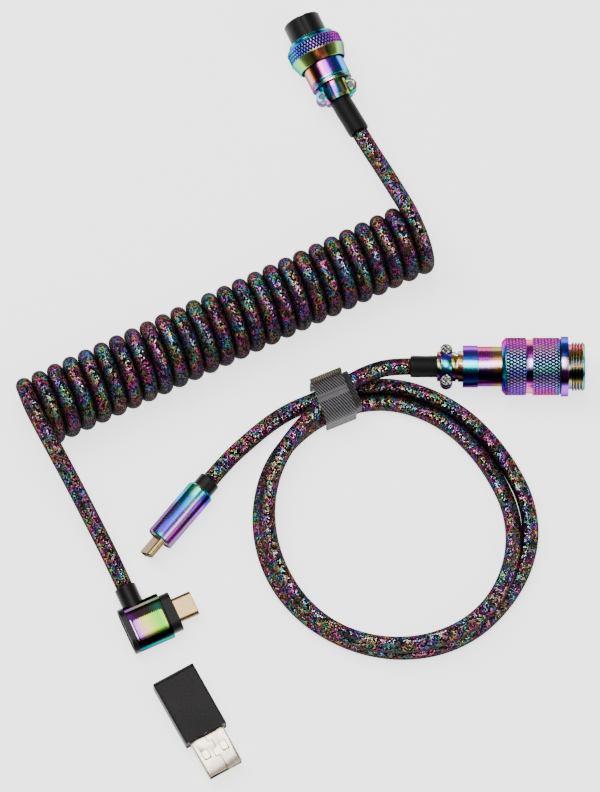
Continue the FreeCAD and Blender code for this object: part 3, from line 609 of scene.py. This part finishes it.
def lathe(name, outline, spot, material, radius=0.12, segments=128, knurls=()):
    """Turned piece about a connector's axis.  knurls holds (x0, x1) spans cut with a diamond pattern."""
    points = rounded_outline(outline, radius)
    points.append(points[0])
    step = 0.16
    depth = 0.28
    outside = 6.5                 # the inner wall isn't cut
    profile = []
    for p, q in zip(points, points[1:]):
        in_knurl = any(min(p.x, q.x) >= a - 0.3 and max(p.x, q.x) <= b + 0.3 for a, b in knurls)
        pieces = max(1, int((q - p).length / step)) if in_knurl and abs(q.y - p.y) < 0.3 else 1
        profile += [p + (q - p) * (k / pieces) for k in range(pieces)]
    around = 12 * KNURL_ROWS if knurls else segments
    rate = math.pi / KNURL_PITCH
    vertices = []
    for p in profile:
        for j in range(around):
            theta = TAU * j / around
            r = p.y
            for a, b in knurls:
                if a <= p.x <= b and p.y > outside:
                    fade = min(1.0, (p.x - a) / 0.25, (b - p.x) / 0.25)
                    wave_1 = abs(math.sin(theta * KNURL_ROWS / 2 + p.x * rate))
                    wave_2 = abs(math.sin(theta * KNURL_ROWS / 2 - p.x * rate))
                    r -= depth * fade * (1 - min(1.0, 1.5 * min(wave_1, wave_2)))
            vertices.append((p.x, r * math.cos(theta), r * math.sin(theta)))
    faces = [(p, s, r, q) for p, q, r, s in quads(len(profile), around, True)]
    return mesh_object(name, vertices, faces, material, matrix=frame_of(spot), even=not knurls)


def stadium(width, height, inset=0.0, steps=10):
    """Outline of a plug: straight long sides and round short sides, in (y, z)."""
    r = height / 2 - inset
    half = width / 2 - height / 2
    points = []
    for side in (1, -1):
        for k in range(steps + 1):
            angle = -side * math.pi / 2 + math.pi * k / steps
            points.append((side * half + r * math.cos(angle), r * math.sin(angle)))
    return points


def rounded_box(width, height, radius, inset=0.0, steps=6):
    """Rounded rectangle in (y, z)."""
    points = []
    r = max(radius - inset, 0.02)
    for sy, sz, first in ((1, 1, 0), (-1, 1, 90), (-1, -1, 180), (1, -1, 270)):
        centre_y = sy * (width / 2 - inset - r)
        centre_z = sz * (height / 2 - inset - r)
        for k in range(steps + 1):
            angle = math.radians(first + 90 * k / steps)
            points.append((centre_y + r * math.cos(angle), centre_z + r * math.sin(angle)))
    return points


def loft(name, sections, matrix, material, close=False):
    """Skin over equal-length sections, each an (x, outline) pair."""
    count = len(sections[0][1])
    vertices = [(x, y, z) for x, outline in sections for y, z in outline]
    faces = quads(len(sections), count, close)
    if not close:
        faces += lids(len(sections), count)
    return mesh_object(name, vertices, faces, material, matrix=matrix, even=True)


def bar(name, outline_of, x0, x1, matrix, material, edge=0.25, steps=3):
    """Bar along X with rolled end edges; outline_of(inset) gives its section."""
    sections = []
    for k in range(steps + 1):
        t = math.pi / 2 * k / steps
        sections.append((x0 + edge * (1 - math.sin(t)), outline_of(edge * (1 - math.cos(math.pi / 2 - t)))))
    ends = [(x1 - (x - x0), outline) for x, outline in reversed(sections)]
    return loft(name, sections + ends, matrix, material)


def ring_bar(name, outline_of, x0, x1, wall, matrix, material, edge=0.12):
    """Tube of constant wall with rolled rims."""
    steps = 4
    sections = [(x0, outline_of(wall)), (x0, outline_of(edge)), (x0 + edge, outline_of(0.0))]
    sections.append((x1 - edge * 1.5, outline_of(0.0)))
    for k in range(1, steps + 1):
        t = math.pi / 2 * k / steps
        sections.append((x1 - edge * 1.5 * (1 - math.sin(t)), outline_of(wall * 0.75 * (1 - math.cos(t)))))
    sections.append((x1 - edge * 0.6, outline_of(wall)))
    return loft(name, sections, matrix, material, close=True)


def rounded_copy(name, node, material, width=0.12):
    """Copy of a CAD node with its sharp edges broken."""
    shape = bmesh.new()
    shape.from_mesh(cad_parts[node].data)
    bmesh.ops.remove_doubles(shape, verts=shape.verts, dist=0.000002)
    bmesh.ops.dissolve_limit(shape, angle_limit=math.radians(1), verts=shape.verts, edges=shape.edges)
    mesh = bpy.data.meshes.new(name)
    shape.to_mesh(mesh)
    shape.free()
    mesh.materials.append(material)
    for polygon in mesh.polygons:
        polygon.use_smooth = True
    piece = bpy.data.objects.new(name, mesh)
    bpy.context.scene.collection.objects.link(piece)
    bevel = piece.modifiers.new("bevel", "BEVEL")
    bevel.width = width * MM
    bevel.segments = 2
    bevel.limit_method = "ANGLE"
    bevel.angle_limit = math.radians(35)
    bevel.harden_normals = True
    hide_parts(node)
    return piece


def dress(material, *nodes):
    """Give the CAD nodes that stay visible their finished material."""
    for node in nodes:
        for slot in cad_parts[node].material_slots:
            slot.link = "OBJECT"
            slot.material = material


# ---------------- cords
def spline_points(name, controls, resolution):
    """Points along a smooth curve drawn by the given control points."""
    curve = bpy.data.curves.new(name, "CURVE")
    curve.dimensions = "3D"
    spline = curve.splines.new("NURBS")
    spline.points.add(len(controls) - 1)
    for point, at in zip(spline.points, controls):
        point.co = (at[0] * MM, at[1] * MM, at[2] * MM, 1.0)
    spline.order_u = 3
    spline.use_endpoint_u = True
    spline.resolution_u = resolution
    holder = bpy.data.objects.new(name, curve)
    mesh = bpy.data.meshes.new_from_object(holder)
    points = [v.co.copy() for v in mesh.vertices]
    bpy.data.meshes.remove(mesh)
    bpy.data.objects.remove(holder)
    bpy.data.curves.remove(curve)
    return points


def cord_mesh(name, path, radius, material, sides=28):
    """Round cord swept along the points, with UV (mm along, turns around)."""
    length = 0.0
    lengths = [0.0]
    for p, q in zip(path, path[1:]):
        length += (q - p).length
        lengths.append(length)
    normal = (path[1] - path[0]).orthogonal().normalized()
    vertices = []
    count = len(path)
    for i, point in enumerate(path):
        tangent = (path[min(i + 1, count - 1)] - path[max(i - 1, 0)]).normalized()
        normal = (normal - tangent * normal.dot(tangent)).normalized()
        binormal = tangent.cross(normal)
        for j in range(sides):
            angle = TAU * j / sides
            vertices.append(point + (normal * math.cos(angle) + binormal * math.sin(angle)) * radius)
    uvs = []
    for i in range(count - 1):
        s0 = lengths[i] / MM
        s1 = lengths[i + 1] / MM
        for j in range(sides):
            uvs += [(s0, j / sides), (s0, (j + 1) / sides), (s1, (j + 1) / sides), (s1, j / sides)]
    for s in (0.0, length / MM):
        uvs += [(s, j / sides) for j in range(sides)]
    faces = quads(count, sides) + lids(count, sides)
    return mesh_object(name, vertices, faces, material, uvs), length


def coiled_controls():
    """Controls from the angled plug over the coil to the round plug, in mm."""
    leg = [
        (-72.73, -64.86, 4.5), (-77.24, -54.87, 4.5), (-82.8, -44.6, 8.4), (-88.4, -34.4, 13.3),
        (-94.0, -24.6, 17.6), (-98.6, -16.6, 20.4),
    ]
    lead = [
        (19.5, 57.8, 20.3), (15.4, 65.8, 16.7), (11.1, 74.4, 12.5), (7.13, 81.54, 9.4), (3.52, 87.77, 9.4),
    ]
    heading = math.radians(COIL_HEADING)
    axis = Vector((math.cos(heading), math.sin(heading), 0))
    far = Vector((-math.sin(heading), math.cos(heading), 0))
    centre = Vector((COIL_CENTRE[0], COIL_CENTRE[1], COIL_HEIGHT))
    per_turn = 16
    # the curve runs inside its controls, so those of the coil stand a little further out
    swell = 1 / math.cos(math.pi / per_turn) ** 2
    reach = COIL_R * (1 + (swell - 1) * 0.75)
    coil = []
    total = COIL_TURNS * per_turn
    for i in range(total + 1):
        phase = TAU * i / per_turn
        along = (i / per_turn - COIL_TURNS / 2) * COIL_PITCH
        end = min(i, total - i)
        r = COIL_R if end == 0 else reach
        at = centre + axis * along + far * (math.sin(phase) * r)
        at.z += math.cos(phase) * r
        coil.append(tuple(at))
    return leg + coil + lead


def straight_controls():
    """Controls from the straight plug to the receptacle, in mm; the turns are (degrees, radius, height)."""
    usb_lead = [
        (-45.13, -29.0, 4.6), (-39.67, -22.39, 4.6), (-33.0, -15.8, 3.2), (-25.6, -9.3, 2.75),
        (-18.7, -5.0, 2.75), (-12.2, -2.4, 3.2),
    ]
    first_turn = [
        (114, 47.2, 3.75), (101, 45.9, 3.2), (88, 45.2, 2.75), (74, 43.7, 2.75), (58, 42.4, 2.75),
        (42, 41.6, 2.75), (26, 42.0, 2.75), (10, 43.9, 2.75), (354, 45.4, 2.75), (338, 45.5, 2.75),
        (322, 45.3, 2.75), (306, 45.4, 2.75), (290, 44.9, 2.75), (274, 44.0, 2.75), (258, 43.2, 2.75),
        (242, 42.7, 2.75), (226, 42.8, 2.75), (210, 43.1, 2.75), (194, 43.2, 2.75), (178, 43.4, 2.75),
        (162, 43.5, 2.75), (148, 43.3, 2.8), (133, 42.4, 3.2),
    ]
    second_turn = [
        (118, 41.5, 3.75), (104, 40.7, 3.4), (90, 39.9, 2.9), (74, 38.4, 2.75), (58, 37.1, 2.75),
        (42, 36.2, 2.75), (26, 36.4, 2.75), (10, 38.0, 2.75), (356, 39.5, 3.2), (342, 40.9, 4.6),
        (328, 42.2, 6.2), (314, 43.3, 7.6), (300, 43.6, 8.1), (285, 43.3, 8.2), (270, 42.9, 8.2),
        (255, 42.6, 8.2), (240, 42.3, 8.2), (225, 41.7, 8.2), (210, 41.1, 8.2), (195, 41.0, 8.2),
        (180, 41.2, 8.2), (165, 41.7, 8.2), (150, 42.2, 8.2),
    ]
    socket_lead = [
        (-15.8, -12.3, 8.3), (-10.2, -6.7, 8.5), (-4.8, -1.4, 8.9), (1.4, 3.5, 9.0), (8.2, 6.5, 9.4),
        (14.2, 7.8, 9.8), (19.87, 7.8, 9.8),
    ]
    turns = []
    for angle, r, z in first_turn + second_turn:
        a = math.radians(angle)
        turns.append((LOOP_CENTRE[0] + r * math.cos(a), LOOP_CENTRE[1] + r * math.sin(a), z))
    return usb_lead + turns + socket_lead


def build_cords():
    coiled_path = spline_points("coiled_line", coiled_controls(), 5)
    coiled, coiled_length = cord_mesh("coiled_cord", coiled_path, CORD_D / 2 * MM, BRAID)
    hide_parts("coil_leg_cord", "coil_cord", "coil_lead_cord")
    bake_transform(coiled)

    straight_path = spline_points("straight_line", straight_controls(), 12)
    straight, straight_length = cord_mesh("straight_cord", straight_path, CORD_D / 2 * MM, BRAID)
    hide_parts("usb_lead_cord", "loop_cord", "straight_lead_cord")
    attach(straight, "straight_cable")
    return coiled, coiled_path, coiled_length, straight, straight_path, straight_length


def put(piece, body, *nodes):
    """Tie a piece to its body and hide the CAD nodes it stands for."""
    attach(piece, body)
    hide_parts(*nodes)
    return piece


def moved_spot(spot, x, y, turn=0.0):
    """A spot at (x, y) in another connector's frame, turned further about Z."""
    (at_x, at_y), height, heading = spot
    c = math.cos(math.radians(heading))
    s = math.sin(math.radians(heading))
    return ((at_x + c * x - s * y, at_y + s * x + c * y), height, heading + turn)


def shrink_sleeve(name, spot, x0, x1, body, node):
    """Heat-shrink sleeve: drawn in where it grips, with the cord's end set a little inside."""
    outline = [
        (x0, 2.78), (x0, 3.42), (x0 + 1.2, 3.56), (x0 + 5.0, 3.50), (x0 + 8.0, 3.56), (x1, 3.45),
        (x1, 2.0), (x0 + 2.5, 2.0), (x0 + 2.5, 2.78),
    ]
    return put(lathe(name, outline, spot, RUBBER, 0.18, 72), body, node)


def usb_c_shell(name, spot, x0, x1, body, node, roll=0.0):
    def outline_of(inset):
        return stadium(8.34, 2.56, inset)
    shell = ring_bar(name, outline_of, x0, x1, 0.3, frame_of(spot, roll), GOLD, 0.14)
    return put(shell, body, node)


def dress_usb_c(plug):
    dress(MOULDED, f"{plug}_insulator")
    dress(GOLD, f"{plug}_contacts")
    dress(BOARD, f"{plug}_board")


def rounded_pieces(body, rows):
    """Rounded copies of CAD nodes, from (name, node, material, edge width) rows."""
    return [put(rounded_copy(*row), body, row[1]) for row in rows]


def screw_heads(name, spot, x, body, node):
    """Pan-head clamp screws with a cross recess, seen beside the cable."""
    vertices = []
    faces = []
    around = 48
    profile = [
        (-2.4, 0.0), (-2.4, 0.98), (2.0, 0.98), (2.0, 1.9), (2.55, 1.9), (2.95, 1.72), (3.2, 1.35),
        (3.3, 1.05), (3.3, 0.0),
    ]
    for side in (-1, 1):
        first = len(vertices)
        for i, (z, r) in enumerate(profile):
            for j in range(around):
                angle = TAU * j / around
                cross = abs(math.cos(2 * angle)) ** 6
                sink = 0.75 if r < 0.4 else 0.75 * cross if r < 1.2 and z > 3 else 0.0
                vertices.append((x + r * math.cos(angle), side * 5.05 + r * math.sin(angle), z - sink))
        faces += quads(len(profile), around, first=first)
    return put(mesh_object(name, vertices, faces, STEEL, matrix=frame_of(spot), even=True), body, node)


def build_round_plug():
    body = "round_plug_end"
    thread = []
    for i in range(4):
        x = -11.0 + i
        thread += [(x - 0.35, 7.45), (x, 8.0), (x + 0.35, 7.45)]
    ring = [
        (-6.7, 7.45), (-6.7, 7.65), (-7.5, 8.0), (-7.9, 8.1), (-8.3, 8.9), (-9.0, 9.4), (-12.8, 9.4),
        (-13.1, 9.3), (-15.3, 8.5), (-16.6, 8.0), (-16.6, 7.6), (-15.0, 7.6), (-15.0, 7.0),
        (-13.9, 7.0), (-13.9, 8.2), (-11.6, 8.2),
    ] + thread
    coupling = lathe("coupling_ring_knurled", ring, ROUND_PLUG, RING, 0.12, knurls=((-12.8, -8.9),))
    put(coupling, "coupling_ring", "coupling_ring")
    pieces = [coupling]
    pieces += rounded_pieces(body, [
        ("round_plug_shell", "round_plug_barrel", BARREL, 0.10),
        ("round_plug_saddle", "round_plug_clamp_saddle", BARREL, 0.15),
        ("round_plug_insert", "round_plug_nose", MOULDED, 0.18),
    ])
    bent = moved_spot(ROUND_PLUG, -29.8, 0.0, 5.0)
    pieces.append(shrink_sleeve("round_plug_sleeve", bent, -12.6, 0.6, body, "round_plug_heat_shrink"))
    tube = [
        (-15.5, 6.4), (-15.5, 6.98), (-22.4, 6.98), (-22.6, 6.73), (-23.0, 6.73), (-23.2, 6.98),
        (-23.93, 6.98), (-23.93, 6.4),
    ]
    polished = lathe("round_plug_tube", tube, ROUND_PLUG, BARREL, 0.10, 160)
    pieces.append(put(polished, body, "round_plug_barrel"))
    dress(DARK_STEEL, "round_plug_clamp_screws")
    dress(STEEL, "round_plug_retaining_clip")
    dress(GOLD, "round_plug_sockets")
    return pieces


def build_receptacle():
    body = "straight_cable"
    shell = [(0.0, 6.35), (0.0, 7.3), (-0.35, 7.6)]
    for i in range(4):
        x = -0.85 - i
        shell += [(x + 0.15, 8.0), (x - 0.15, 8.0), (x - 0.42, 7.3), (x - 0.58, 7.3)]
    shell += [
        (-5.4, 7.4), (-5.4, 9.8), (-7.8, 9.8), (-7.8, 8.1), (-8.3, 8.1), (-8.3, 9.4), (-17.0, 9.4),
        (-17.1, 8.85), (-19.1, 8.85), (-19.2, 9.4), (-25.9, 9.4), (-27.1, 8.0), (-27.1, 6.55),
        (-16.1, 6.55), (-16.1, 7.0), (-9.4, 7.0), (-9.4, 6.35),
    ]
    turned = lathe("receptacle_body", shell, RECEPTACLE, SHELL, 0.12, knurls=((-16.9, -8.4), (-25.7, -19.3)))
    put(turned, body, "receptacle_shell")
    pieces = [turned]
    pieces += rounded_pieces(body, [
        ("receptacle_rear", "receptacle_back_shell", BACK_SHELL, 0.10),
        ("receptacle_saddle", "receptacle_clamp_saddle", BACK_SHELL, 0.15),
        ("receptacle_insert", "receptacle_insulator", MOULDED, 0.10),
    ])
    sleeve = shrink_sleeve("receptacle_sleeve", RECEPTACLE, -56.8, -42.3, body, "receptacle_heat_shrink")
    pieces.append(sleeve)
    pieces.append(screw_heads("receptacle_screws", RECEPTACLE, -45.1, body, "receptacle_clamp_screws"))
    tube = [(-26.9, 6.2), (-26.9, 6.53), (-34.8, 6.53), (-34.8, 6.88), (-39.73, 6.88), (-39.73, 6.2)]
    polished = lathe("receptacle_tube", tube, RECEPTACLE, BACK_SHELL, 0.10, 160)
    pieces.append(put(polished, body, "receptacle_back_shell"))
    dress(RUBBER, "receptacle_seal_ring")
    dress(GOLD, "receptacle_pins")
    return pieces


def build_straight_plug():
    body = "straight_cable"
    sleeve = [
        (0.0, 4.1), (0.0, 4.35), (-0.3, 4.6), (-20.7, 4.6), (-21.4, 4.0), (-21.4, 3.72), (-20.7, 3.8),
        (-20.7, 4.1),
    ]
    put(lathe("straight_plug_tube", sleeve, STRAIGHT_PLUG, SLEEVE, 0.12), body, "straight_plug_sleeve")
    collar = [
        (-21.3, 2.0), (-21.3, 3.65), (-25.4, 3.65), (-25.8, 3.3), (-25.8, 2.8), (-24.0, 2.75), (-24.0, 2.0),
    ]
    put(lathe("straight_plug_grip", collar, STRAIGHT_PLUG, MOULDED, 0.2, 72), body, "straight_plug_collar")
    put(rounded_copy("straight_plug_face", "straight_plug_core", MOULDED, 0.1), body, "straight_plug_core")
    usb_c_shell("straight_plug_tip", STRAIGHT_PLUG, -4.0, 6.65, body, "straight_plug_shell", PLUG_ROLL)
    dress_usb_c("straight_plug")


def build_angled_plug():
    body = "coiled_cable"
    matrix = frame_of(ANGLED_PLUG)

    def big(inset):
        return rounded_box(15.6, 9.0, 4.2, inset)

    def small(inset):
        return rounded_box(13.4, 7.0, 3.1, inset)

    sleeve = ring_bar("angled_plug_case", big, -6.1, 6.1, 0.6, matrix, ANGLED_SLEEVE, 0.16)
    put(sleeve, body, "angled_plug_sleeve")
    put(bar("angled_plug_cap", big, -7.9, -6.05, matrix, GLOSS, 0.45), body, "angled_plug_end_cap")
    put(bar("angled_plug_lip", small, 5.6, 9.5, matrix, MOULDED, 0.5), body, "angled_plug_collar")
    relief_spot = moved_spot(ANGLED_PLUG, -2.3, 5.5, 90.0)
    relief = [(0.0, 2.0), (0.0, 3.55), (8.4, 3.55), (8.4, 2.8), (7.2, 2.75), (7.2, 2.0)]
    put(lathe("angled_plug_boot", relief, relief_spot, MOULDED, 0.2, 72), body, "angled_plug_strain_relief")
    usb_c_shell("angled_plug_tip", ANGLED_PLUG, 4.0, 16.15, body, "angled_plug_shell")
    dress(MOULDED, "angled_plug_core")
    dress_usb_c("angled_plug")


def spring_leaf(name, x0, y, z):
    """Sprung tongue in a window of the USB-A shell, joined to the shell at its rear end."""
    half = 0.98
    half_thick = 0.1
    end = x0 + 2.72
    edge = [(x0 - 0.1, half), (end - 0.6, half), (end - 0.17, half * 0.83), (end, half * 0.45)]
    outline = [(px, y - dy) for px, dy in edge] + [(px, y + dy) for px, dy in reversed(edge)]
    count = len(outline)
    vertices = [(px, py, z + dz) for dz in (-half_thick, half_thick) for px, py in outline]
    faces = [tuple(range(count))[::-1], tuple(range(count, 2 * count))]
    faces += [(i, (i + 1) % count, count + (i + 1) % count, count + i) for i in range(count)]
    return mesh_object(name, vertices, faces, SILVER, matrix=frame_of(ADAPTER), smooth=False)


def build_adapter():
    body = "adapter"
    matrix = frame_of(ADAPTER)

    def outline(inset):
        return rounded_box(14.8, 8.0, 0.9, inset)

    put(bar("adapter_body", outline, -10.2, 11.2, matrix, BLACK, 0.35), body, "adapter_housing")
    put(rounded_copy("adapter_rear_plate", "adapter_end_cap", GLOSS, 0.25), body, "adapter_end_cap")
    put(rounded_copy("adapter_plug_shell", "adapter_usb_a_shell", SEAMED, 0.08), body, "adapter_usb_a_shell")
    for side in (-1, 1):
        for face in (-1, 1):
            leaf = spring_leaf(f"adapter_leaf_{side}_{face}", LEAF_X, side * 3.25, face * 2.08)
            put(leaf, body, "adapter_usb_a_shell")
    dress(SILVER, "adapter_usb_c_socket")
    dress(MOULDED, "adapter_usb_a_tongue", "adapter_usb_c_tongue", "adapter_resistors")
    dress(GOLD, "adapter_usb_a_contacts", "adapter_usb_c_contacts")
    dress(BOARD, "adapter_board")


# ---------------- tie
def strap_piece(name, path, x0, x1, thickness, closed, material, start_mm):
    """Strap swept along (y, z) points in the tie's frame, with UV (mm across, mm along)."""
    matrix = frame_of(TIE)
    count = len(path)
    columns = [x0, x0 + 0.15] + [x0 + (x1 - x0) * k / 8 for k in range(1, 8)] + [x1 - 0.15, x1]
    section = [(x, 0.5 if 0 < i < len(columns) - 1 else 0.28) for i, x in enumerate(columns)]
    section += [(x, -h) for x, h in reversed(section)]
    vertices = []
    travelled = [start_mm]
    for i, point in enumerate(path):
        if i:
            travelled.append(travelled[-1] + (point - path[i - 1]).length)
        if closed:
            tangent = (path[(i + 1) % count] - path[i - 1]).normalized()
        else:
            tangent = (path[min(i + 1, count - 1)] - path[max(i - 1, 0)]).normalized()
        normal = Vector((-tangent.y, tangent.x))
        for x, h in section:
            at = point + normal * (h * thickness)
            vertices.append((x, at.x, at.y))
    across = len(section)
    faces = quads(count, across, closed)
    uvs = []
    for i in range(count if closed else count - 1):
        s0 = travelled[i]
        s1 = travelled[i + 1] if i + 1 < count else s0 + (path[0] - path[-1]).length
        for j in range(across):
            k = (j + 1) % across
            uvs += [(section[j][0], s0), (section[k][0], s0), (section[k][0], s1), (section[j][0], s1)]
    if not closed:
        faces += lids(count, across)
        uvs += [(section[j][0], start_mm) for j in reversed(range(across))]
        uvs += [(section[j][0], travelled[-1]) for j in range(across)]
    return mesh_object(name, vertices, faces, material, uvs, matrix)


def smooth_path(corners, radius, closed):
    points = rounded_outline(corners, radius, closed, 8)
    dense = []
    pairs = list(zip(points, points[1:] + points[:1])) if closed else list(zip(points, points[1:]))
    for p, q in pairs:
        pieces = max(1, int((q - p).length / 0.6))
        dense += [p + (q - p) * (k / pieces) for k in range(pieces)]
    if not closed:
        dense.append(points[-1])
    return dense


def build_tie():
    """Layers of the tie, each swept from x0 to x1 along a path with the given (y, z) corners."""
    under = [(-6.25, 0.5), (5.9, 0.5), (5.9, 12.1), (-6.25, 12.1)]
    near = [(-7.15, 0.6), (-7.2, 10.0), (-5.0, 13.1), (0.6, 13.2)]
    far = [(4.4, 12.9), (6.75, 10.6), (6.8, 0.6)]
    end = [(0.2, 13.32), (3.6, 13.4), (5.4, 14.0), (6.1, 15.3)]
    fold = [(5.55, 14.9), (6.7, 14.9), (6.7, 15.9), (5.55, 15.9)]
    for name, corners, bend, closed, x0, x1, thickness, material, start_mm, body, node in (
            ("tie_under_layer", under, 2.8, True, -3.1, 7.5, 0.95, STRAP, 0.0, "straight_cable", "tie_strap"),
            ("tie_over_layer", near, 3.4, False, -5.3, 5.3, 1.0, STRAP, 2.0, "straight_cable", "tie_strap"),
            ("tie_far_layer", far, 2.6, False, -5.3, 5.3, 0.95, STRAP, 30.0, "straight_cable", "tie_strap"),
            ("tie_free_end", end, 2.0, False, -5.3, 5.3, 1.0, STRAP, 19.5, "tie_tab", "tie_tab"),
            ("tie_hem", fold, 0.45, True, -5.4, 5.4, 0.5, HEM, 0.0, "tie_tab", "tie_tab")):
        path = smooth_path(corners, bend, closed)
        put(strap_piece(name, path, x0, x1, thickness, closed, material, start_mm), body, node)


# ---------------- room
def area_light(name, at, target, width, height, power):
    data = bpy.data.lights.new(name, "AREA")
    data.shape = "RECTANGLE"
    data.size = width
    data.size_y = height
    data.energy = power
    lamp = bpy.data.objects.new(name, data)
    lamp.location = at
    lamp.rotation_euler = (Vector(target) - Vector(at)).to_track_quat("-Z", "Y").to_euler()
    bpy.context.scene.collection.objects.link(lamp)


def build_room():
    scene = bpy.context.scene
    data = bpy.data.cameras.new("camera")
    data.sensor_fit = "VERTICAL"
    data.sensor_height = 24.0
    data.lens = 222.6
    data.clip_end = 20.0
    camera = bpy.data.objects.new("camera", data)
    target = Vector((-0.016, 0.0005, 0.0))
    elevation = math.radians(75)
    distance = 2.4
    camera.location = target + Vector((0, -math.cos(elevation), math.sin(elevation))) * distance
    camera.rotation_euler = (target - camera.location).to_track_quat("-Z", "Y").to_euler()
    scene.collection.objects.link(camera)
    scene.camera = camera

    world = bpy.data.worlds.new("studio")
    world.use_nodes = True
    world.node_tree.nodes["Background"].inputs[0].default_value = (0.86, 0.88, 0.92, 1)
    world.node_tree.nodes["Background"].inputs[1].default_value = 0.12
    scene.world = world

    half = 3.0
    corners = [(-half, -half, 0), (half, -half, 0), (half, half, 0), (-half, half, 0)]
    ground = mesh_object("floor", corners, [(0, 1, 2, 3)], FLOOR)
    ground.location.z = -0.0002

    area_light("key", (-0.5, 0.35, 1.1), (0, 0, 0), 0.5, 1.2, 13)
    area_light("fill", (0.9, -0.5, 1.0), (0, 0, 0), 0.6, 0.9, 6)
    area_light("overhead", (0.0, 0.2, 1.5), (0, 0, 0), 0.35, 1.4, 11)


def main():
    build_room()
    coiled, coiled_path, coiled_length, straight, straight_path, straight_length = build_cords()
    plug_pieces = build_round_plug()
    receptacle_pieces = build_receptacle()
    build_straight_plug()
    build_angled_plug()
    build_adapter()
    build_tie()
    tuple(coiled_path[0])
    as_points(coiled_path)
    tuple(straight_path[0])
    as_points(straight_path)


main()
